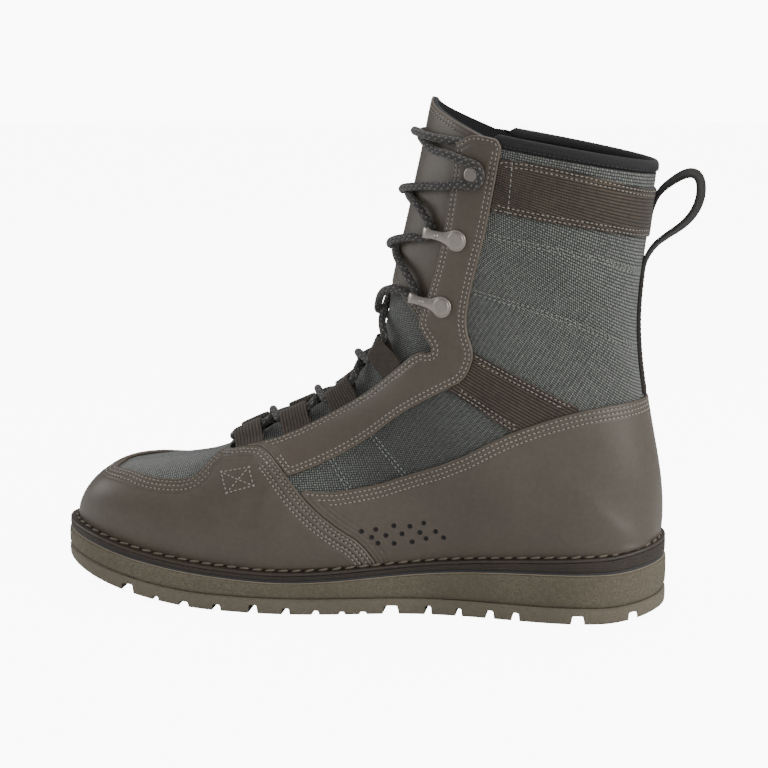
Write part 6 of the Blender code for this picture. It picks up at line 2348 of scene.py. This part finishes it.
@dataclass
class Fittings:
    """Hooks, studs and webbing loops for the lace."""

    kit: Kit
    disc: float = 5.3 * MM
    neck: float = 2.0 * MM
    sheet: float = 1.2 * MM
    leather: float = 1.6 * MM
    stud_disc: float = 3.6 * MM
    stud_height: float = 2.0 * MM
    lace: float = 2.0 * MM
    loop_sheet: float = 1.1 * MM

    def frame_at(self, place: tuple, tip: tuple, side: int, lift: float) -> tuple:
        """Seat of a fitting: its middle, the ways along and across it, the normal, and the tip's distance."""
        seat = LAST.on_form(*place, side, lift)
        normal = LAST.outward(*place, side)
        ahead = LAST.on_form(*tip, side, lift) - seat
        ahead = ahead - normal * np.dot(ahead, normal)
        reach = float(np.linalg.norm(ahead))
        ahead = ahead / reach
        return seat, ahead, np.cross(normal, ahead), normal, reach

    def hook(self, name: str, place: tuple, tip: tuple, side: int) -> None:
        """Hook: a pressed disc with a flat rivet, and an arm that folds down round the lace at its tip.

        Args:
            name: Name of its solid.
            place: Section and share of its disc.
            tip: Section and share of its tip.
            side: MEDIAL or LATERAL.
        """
        seat, ahead, across, normal, reach = self.frame_at(place, tip, side,
                                                           LAST.gap * 2 + self.leather - 0.3 * MM)
        neck = self.neck
        arm = [(-self.disc * 0.3, 0.0, neck * 2.0), (self.disc * 0.55, 0.0, neck * 2.1),
               (self.disc * 1.05, 0.10, neck * 1.55), (reach * 0.55, 0.35, neck * 1.20),
               (reach * 0.72, 0.60, neck * 1.12), (reach - 2.6 * MM, 0.75, neck * 1.20),
               (reach - 1.0 * MM, 0.70, neck * 1.35), (reach + 0.3 * MM, 0.20, neck * 1.4),
               (reach + 1.0 * MM, -0.8, neck * 1.4), (reach + 0.9 * MM, -2.0, neck * 1.3),
               (reach + 0.1 * MM, -2.9, neck * 1.2), (reach - 1.2 * MM, -3.2, neck * 1.0)]
        bend = Spline(np.arange(len(arm)), [(ahead_by, rise * MM, wide) for ahead_by, rise, wide in arm])
        arm = bend(np.linspace(0, len(arm) - 1, 34))
        line = seat + np.outer(arm[:, 0], ahead) + np.outer(arm[:, 1] + self.sheet / 2, normal)
        edge = np.linspace(-math.pi / 2, math.pi / 2, 5)

        def profile(share: float) -> Array:
            """Section of the arm: a flat sheet with round edges and a low crown."""
            width = float(np.interp(share, np.linspace(0, 1, len(arm)), arm[:, 2]))
            thick = self.sheet / 2
            right = [(width - thick + math.cos(a) * thick, math.sin(a) * thick) for a in edge]
            left = [(-width + thick - math.cos(a) * thick, -math.sin(a) * thick) for a in edge]
            crown = 0.22 * MM
            return np.array(right + [(width * 0.4, thick + crown * 0.8), (0, thick + crown),
                                     (-width * 0.4, thick + crown * 0.8)] + left)

        points, faces = ring_loft(swept(line, np.tile(across, (len(line), 1)), profile), caps=True)
        axes = (normal, ahead, across)
        bead_seat = seat + ahead * reach * 0.62 + normal * (0.55 * MM + self.sheet)
        parts = [outwards(mesh_piece(name + "_arm", points, faces)),
                 self.turned(name + "_disc", seat, axes, HOOK_PLAN, self.sheet, self.disc, 32),
                 self.turned(name + "_bead", bead_seat, axes, BEAD_PLAN, MM, MM, 12)]
        self.join(name.replace("hook", "lace_hook"), parts, name)

    def turned(self, name: str, seat: Array, axes: tuple, plan: Sequence, tall: float, wide: float,
               count: int) -> bpy.types.Object:
        """Round piece from a plan of rises and radii.

        Args:
            name: The piece's name.
            seat: Its middle.
            axes: The normal and two ways across it.
            plan: Rise and radius of each ring.
            tall: Length of one unit of rise.
            wide: Length of one unit of radius.
            count: Number of points round it.

        Returns:
            The object.
        """
        normal, ahead, across = axes
        turns = round_turns(count)
        circle = np.outer(np.cos(turns), ahead) + np.outer(np.sin(turns), across)
        points, faces = ring_loft(np.array([seat + normal * rise * tall + circle * wide * radius
                                            for rise, radius in plan]), caps=True)
        return outwards(mesh_piece(name, points, faces))

    def join(self, title: str, parts: list[bpy.types.Object], node: str) -> None:
        """Put a fitting's parts into one piece and dress it."""
        shell = bmesh.new()
        for part in parts:
            shell.from_mesh(part.data)
        mesh = bpy.data.meshes.new(title)
        shell.to_mesh(mesh)
        shell.free()
        for part in parts:
            bpy.data.objects.remove(part)
        mesh.materials.append(self.kit.materials["hook_metal"])
        mesh.shade_smooth()
        mesh.set_sharp_from_angle(angle=math.radians(50))
        obj = bpy.data.objects.new(title, mesh)
        bpy.context.scene.collection.objects.link(obj)
        dress(obj, "hook_metal", node)

    def stud(self, name: str, side: int) -> None:
        """Stud: a flat disc with a shallow dish on a short post."""
        place = STUD_PLACE
        seat, ahead, across, normal, _ = self.frame_at(place, (place[0], place[1] + 0.1), side,
                                                       LAST.gap * 2 + self.leather - 0.2 * MM)
        obj = self.turned(name.replace("stud", "lace_stud"), seat, (normal, ahead, across), STUD_PLAN,
                          self.stud_height, self.stud_disc, 32)
        obj.data.materials.append(self.kit.materials["hook_metal"])
        dress(obj, "hook_metal", name)

    @property
    def loop_outer(self) -> float:
        """Radius of a loop's fold outside."""
        return self.lace + LAST.gap + self.loop_sheet

    def loop(self, name: str, first: float, last: float, root: float, fold: float, side: int) -> None:
        """Webbing folded round the lace, from the throat's edge out over the tongue.

        Args:
            name: Name of its solid.
            first: First section.
            last: Last section.
            root: Share at its root.
            fold: Share at its fold.
            side: MEDIAL or LATERAL.
        """
        outer, sheet, gap = self.loop_outer, self.loop_sheet, LAST.gap
        inner = outer - sheet
        middle = gap + outer
        turns = np.radians(np.linspace(-90, 128, 15))
        rings, uv = [], []
        rows = np.linspace(first, last, 9)
        for number, row in enumerate(rows):
            speed = across_speed(row, root, fold, side)
            centre = fold - outer / speed
            deep = root - 2.6 * MM / speed
            pinch = 1 - 0.06 * (number in (0, 8))
            out = [(centre + math.cos(a) * outer * pinch / speed, middle + math.sin(a) * outer * pinch)
                   for a in turns]
            back = [(centre + math.cos(a) * inner / pinch / speed, middle + math.sin(a) * inner / pinch)
                    for a in turns[::-1]]
            slope = gap + sheet * 0.9
            top = [(root + (out[-1][0] - root) * s, slope + (out[-1][1] - slope) * ease(s))
                   for s in (0.75, 0.5, 0.25)]
            seat = gap + sheet * 0.1
            low = [(root + (back[0][0] - root) * s, seat + (back[0][1] - seat) * ease(s))
                   for s in (0.25, 0.5, 0.75)]
            profile = [(deep, -1.2 * MM), (root, -0.9 * MM)] + out + top + [(root, slope), (deep, 0.7 * MM)]
            profile += [(deep, 0.2 * MM), (root, seat)] + low + back + [(root, 0.1 * MM)]
            profile = np.array(profile)
            rings.append(LAST.on_form(np.full(len(profile), row), profile[:, 0], side, profile[:, 1]))
            metric = np.stack([profile[:, 0] * speed, profile[:, 1]], 1)
            along = np.full(len(profile), (number / 8) * (last - first) * 22 * MM)
            uv.append(np.stack([along, run_length(metric)], 1))
        points, faces = ring_loft(np.array(rings), caps=True)
        obj = outwards(mesh_piece(name.replace("loop", "lace_loop"), points, faces, np.concatenate(uv),
                                  materials=[self.kit.materials["loop_webbing"]]))
        obj.data.set_sharp_from_angle(angle=math.radians(55))
        dress(obj, "webbing", name)

    def build(self) -> None:
        """Build and dress every fitting."""
        for label, side in SIDES.items():
            for level, (place, tip) in HOOKS.items():
                self.hook(f"hook_{label}_{level}", place, tip, side)
            self.stud(f"stud_{label}", side)
            for number, row in enumerate(LOOPS):
                self.loop(f"loop_{label}_{number + 1}", *row, side)


def across_speed(row: float, root: float, fold: float, side: int = MEDIAL) -> float:
    """Metres along a section for each unit of share, between two shares."""
    row_at = np.asarray(row, float)
    way = LAST.form(row_at, fold, side) - LAST.form(row_at, root, side)
    return float(np.linalg.norm(way)) / (fold - root)


@dataclass
class Lace:
    """One braided cord through loops, behind hooks and round the studs."""

    kit: Kit
    radius: float = 2.0 * MM
    loop_outer: float = 3.4 * MM
    sides: int = 14
    press: float = 1.2 * MM
    stud_lift: float = 4.1 * MM
    stud_bend: float = 5.6 * MM
    climbs: tuple[float, ...] = (0.5, 0.5, 0.5, 0.08, 0.2, 0.02, 0.95)

    def stops(self) -> list[tuple]:
        """Where the lace enters and leaves each fitting: section, share, height."""
        high = self.loop_outer + LAST.gap
        clear = self.radius + LAST.gap / 2
        ends = []
        for first, last, root, fold in LOOPS:
            row = (first + last) / 2
            share = fold - self.loop_outer / across_speed(row, root, fold)
            length = float(np.linalg.norm(LAST.form(last, share, MEDIAL) - LAST.form(first, share, MEDIAL)))
            gap = clear * (last - first) / length
            ends.append(((first - gap, share, high), (last + gap, share, high)))
        low = self.radius + LAST.gap * 2
        for entry, leave in zip(HOOK_ENDS[0::2], HOOK_ENDS[1::2]):
            ends.append(((*entry, low), (*leave, low)))
        ends.append(((*STUD_ENDS[0], low), (*STUD_ENDS[1], low)))
        return ends

    def through(self, level: int, side: int, stop: tuple) -> list[Array]:
        """Points of the cord in one fitting.

        Args:
            level: The fitting's number from the toes up.
            side: MEDIAL or LATERAL.
            stop: Where the lace enters and leaves it.

        Returns:
            The points from its lower to its upper end.
        """
        (row_a, share_a, high_a), (row_b, share_b, high_b) = stop
        if level < len(LOOPS):
            steps = [(row_a + (row_b - row_a) * t, share_a + (share_b - share_a) * t, high_a)
                     for t in (0.0, 0.25, 0.5, 0.75, 1.0)]
        elif level < len(LOOPS) + 2:
            tip = HOOKS[("lower", "upper")[level - len(LOOPS)]][1]
            steps = [(row_a, share_a, high_a), (row_a + 0.14, share_a - 0.035, 1.2 * MM),
                     (tip[0] - 0.06, tip[1] - 0.008, -0.2 * MM), (tip[0] + 0.14, tip[1] - 0.010, -0.2 * MM),
                     (row_b - 0.22, share_b - 0.028, 1.2 * MM), (row_b, share_b, high_b)]
        else:
            return self.round_stud(side)
        return [LAST.on_form(row, share, side, high) for row, share, high in steps]

    def round_stud(self, side: int) -> list[Array]:
        """Points of the cord from the throat round the stud's rear and back."""
        row, share = STUD_PLACE
        seat = LAST.on_form(row, share, side, self.stud_lift)
        normal = LAST.outward(row, share, side)
        ahead = LAST.on_form(row, share + 0.1, side, self.stud_lift) - seat
        ahead = unit(ahead - normal * np.dot(ahead, normal))
        up = np.cross(normal, ahead)
        up = up if up[2] > 0 else -up
        ring = [seat + (ahead * math.cos(a) + up * math.sin(a)) * self.stud_bend
                for a in np.radians((-65, -95, -130, -165, 165, 130, 98, 70))]
        start, end = ([LAST.on_form(*spot, side, high * MM) for *spot, high in spots] for spots in STUD_WAYS)
        return start + ring + end

    def crossing(self, start: tuple, end: tuple, side: int, rise: float, early: float = 0.5) -> list[Array]:
        """Points of a crossing over the tongue's ridge.

        Args:
            start: Section, share and height where it leaves.
            end: Those where it arrives on the other side.
            side: Side that it leaves from.
            rise: Height that it gains over the ridge.
            early: Share of its climb that it makes before the ridge.

        Returns:
            The points between the two ends.
        """
        points = []
        for step in np.linspace(-0.82, 0.82, 9):
            mix = early * (1 + step) if step < 0 else early + (1 - early) * step
            here = side if step < 0 else -side
            root = start[1] if step < 0 else end[1]
            share = 1 - (1 - root) * abs(step)
            row = start[0] + (end[0] - start[0]) * mix
            high = start[2] + (end[2] - start[2]) * mix + rise * (1 - step * step) ** 2
            points.append(LAST.on_form(row, share, here, high))
        return points

    def strand(self, side: int) -> Array:
        """One half of the cord, from the toe bar's middle to its hidden end."""
        stops = self.stops()
        points = []
        for level, stop in enumerate(stops):
            points += self.through(level, side, stop)
            above = stops[level + 1][0] if level + 1 < len(stops) else (*LACE_TUCK, stops[-1][1][2])
            over = self.radius * (1.7 if side == LATERAL else -0.1) - (level == len(LOOPS) - 1) * self.press
            points += self.crossing(stop[1], above, side, over, self.climbs[level])
            side = -side
        points += [LAST.on_form(*spot, side, high * MM) for *spot, high in HIDDEN_END]
        return np.array(points)

    def route(self) -> Array:
        """The whole cord's line."""
        start = self.stops()[0][0]
        bar = self.crossing(start, start, MEDIAL, 0.0)
        whole = np.concatenate([self.strand(MEDIAL)[::-1], bar, self.strand(LATERAL)])
        gaps = np.linalg.norm(np.diff(whole, axis=0), axis=1)
        whole = whole[np.concatenate([[True], gaps > 0.8 * MM])]
        return resampled(smoothed(whole, 3), 0.8 * MM)

    def build(self) -> None:
        """Build and dress the cord."""
        line = self.route()
        along = unit(np.gradient(line, axis=0))
        across = np.zeros_like(line)
        across[0] = np.cross(along[0], (0, 0, 1))
        for number in range(1, len(line)):
            last = across[number - 1]
            across[number] = unit(last - along[number] * np.dot(last, along[number]))
        turns = np.linspace(0, 2 * math.pi, self.sides + 1)
        ring = np.stack([np.cos(turns), np.sin(turns)], 1) * self.radius
        rings = swept(line, across, lambda share: ring)
        points, faces = ring_loft(rings, closed=False)
        length = run_length(line)
        uv = np.stack([np.repeat(length, len(turns)), np.tile(turns * self.radius, len(line))], 1)
        obj = outwards(mesh_piece("lace", points, faces, uv, materials=[self.kit.materials["lace_cord"]]))
        nodes = ["lace_toe", *(f"lace_{n}" for n in range(1, 7)), "lace_collar"]
        dress(obj, "lace_cord", *nodes)


@dataclass(frozen=True)
class Studio:
    """Pale floor, soft light and the camera.

    Attributes:
        target: Point that the camera looks at.
        distance: From the target to the eye.
        turn: Degrees that the camera stands behind the boot's side.
        climb: Degrees that it stands above the horizon.
        lens: Focal length in millimetres on a 36 mm sensor.
        sky_light: Strength of the surroundings as light.
        backdrop: Brightness of the surroundings behind the boot.
        glow: Brightness that the floor adds towards the backdrop's.
        floor_radius: Radius of the floor.
    """

    target: tuple[float, float, float] = (-0.1045, 0.0, 0.109)
    distance: float = 0.880
    turn: float = 10.3
    climb: float = 11.0
    lens: float = 80.88
    sky_light: float = 0.32
    backdrop: float = 10.0
    glow: float = 9.0
    floor_radius: float = 6.0

    def camera(self) -> None:
        """Place the camera."""
        a, e = math.radians(self.turn), math.radians(self.climb)
        back = Vector((math.sin(a) * math.cos(e), -math.cos(a) * math.cos(e), math.sin(e)))
        right = Vector((math.cos(a), math.sin(a), 0.0))
        up = back.cross(right)
        data = bpy.data.cameras.new("camera")
        data.sensor_width = 36.0
        data.lens = self.lens
        data.clip_start = 0.01
        camera = bpy.data.objects.new("camera", data)
        eye = Vector(self.target) + back * self.distance
        camera.matrix_world = Matrix.Translation(eye) @ Matrix((right, up, back)).transposed().to_4x4()
        bpy.context.scene.collection.objects.link(camera)
        bpy.context.scene.camera = camera

    def lamp(self, name: str, place: tuple, size: float, power: float) -> None:
        """Soft lamp that faces the boot."""
        data = bpy.data.lights.new(name, "AREA")
        data.shape = "DISK"
        data.size = size
        data.energy = power
        lamp = bpy.data.objects.new(name, data)
        lamp.location = place
        lamp.rotation_euler = (Vector(self.target) - Vector(place)).to_track_quat("-Z", "Y").to_euler()
        bpy.context.scene.collection.objects.link(lamp)

    def floor(self) -> None:
        """Pale floor that the boot stands on."""
        mesh = bpy.data.meshes.new("floor")
        rim = [(self.floor_radius * math.cos(a), self.floor_radius * math.sin(a), 0.0)
               for a in round_turns(64)]
        mesh.from_pydata(rim, [], [tuple(range(64))])
        floor = bpy.data.objects.new("floor", mesh)
        bpy.context.scene.collection.objects.link(floor)
        material = bpy.data.materials.new("floor")
        material.use_nodes = True
        shader = material.node_tree.nodes["Principled BSDF"]
        shader.inputs["Base Color"].default_value = (0.80, 0.80, 0.80, 1.0)
        shader.inputs["Roughness"].default_value = 0.9
        shader.inputs["Specular IOR Level"].default_value = 0.1
        graph = Graph(material.node_tree)
        seen = graph.node("ShaderNodeLightPath").outputs["Is Camera Ray"]
        graph.tree.links.new(graph.mix(seen, (0.0, 0.0, 0.0, 1.0), (1.0, 1.0, 1.0, 1.0)),
                             shader.inputs["Emission Color"])
        shader.inputs["Emission Strength"].default_value = self.glow
        mesh.materials.append(material)

    def sky(self) -> None:
        """Even surroundings: dim as light, pale as backdrop."""
        world = bpy.data.worlds.new("studio")
        world.use_nodes = True
        graph = Graph(world.node_tree)
        dim = world.node_tree.nodes["Background"]
        dim.inputs["Color"].default_value = (0.95, 0.97, 1.0, 1.0)
        dim.inputs["Strength"].default_value = self.sky_light
        pale = graph.node("ShaderNodeBackground", {"Color": (1.0, 1.0, 1.0, 1.0), "Strength": self.backdrop})
        seen = graph.node("ShaderNodeLightPath").outputs["Is Camera Ray"]
        both = graph.node("ShaderNodeMixShader", {0: seen, 1: dim.outputs[0], 2: pale.outputs[0]})
        graph.tree.links.new(both.outputs[0], world.node_tree.nodes["World Output"].inputs["Surface"])
        bpy.context.scene.world = world

    def build(self) -> None:
        """Set the studio up."""
        self.camera()
        self.floor()
        self.sky()
        self.lamp("left", (-1.25, -0.10, 0.55), 0.8, 6.5)
        self.lamp("right", (1.10, -0.45, 0.65), 0.9, 15.0)
        self.lamp("above", (0.15, 0.35, 1.4), 1.0, 10.0)
        self.lamp("front", (0.1, -1.5, 0.7), 1.2, 4.5)


def main() -> None:
    """Build the boot's looks and the studio."""
    logging.basicConfig(level=logging.INFO, format="%(message)s")
    library = Library()
    materials = {name: finish.build(library) for name, finish in FINISHES.items()}
    kit = Kit(materials, Repeat(Shape.STITCH), Repeat(Shape.HOLE))
    Studio().build()
    for part in (Sole(kit), Upper(kit), Tongue(kit), BackStrap(kit), Fittings(kit), Lace(kit)):
        part.build()
        log.info("%s built", type(part).__name__)
    bpy.context.view_layer.update()


if __name__ == "__main__":
    main()
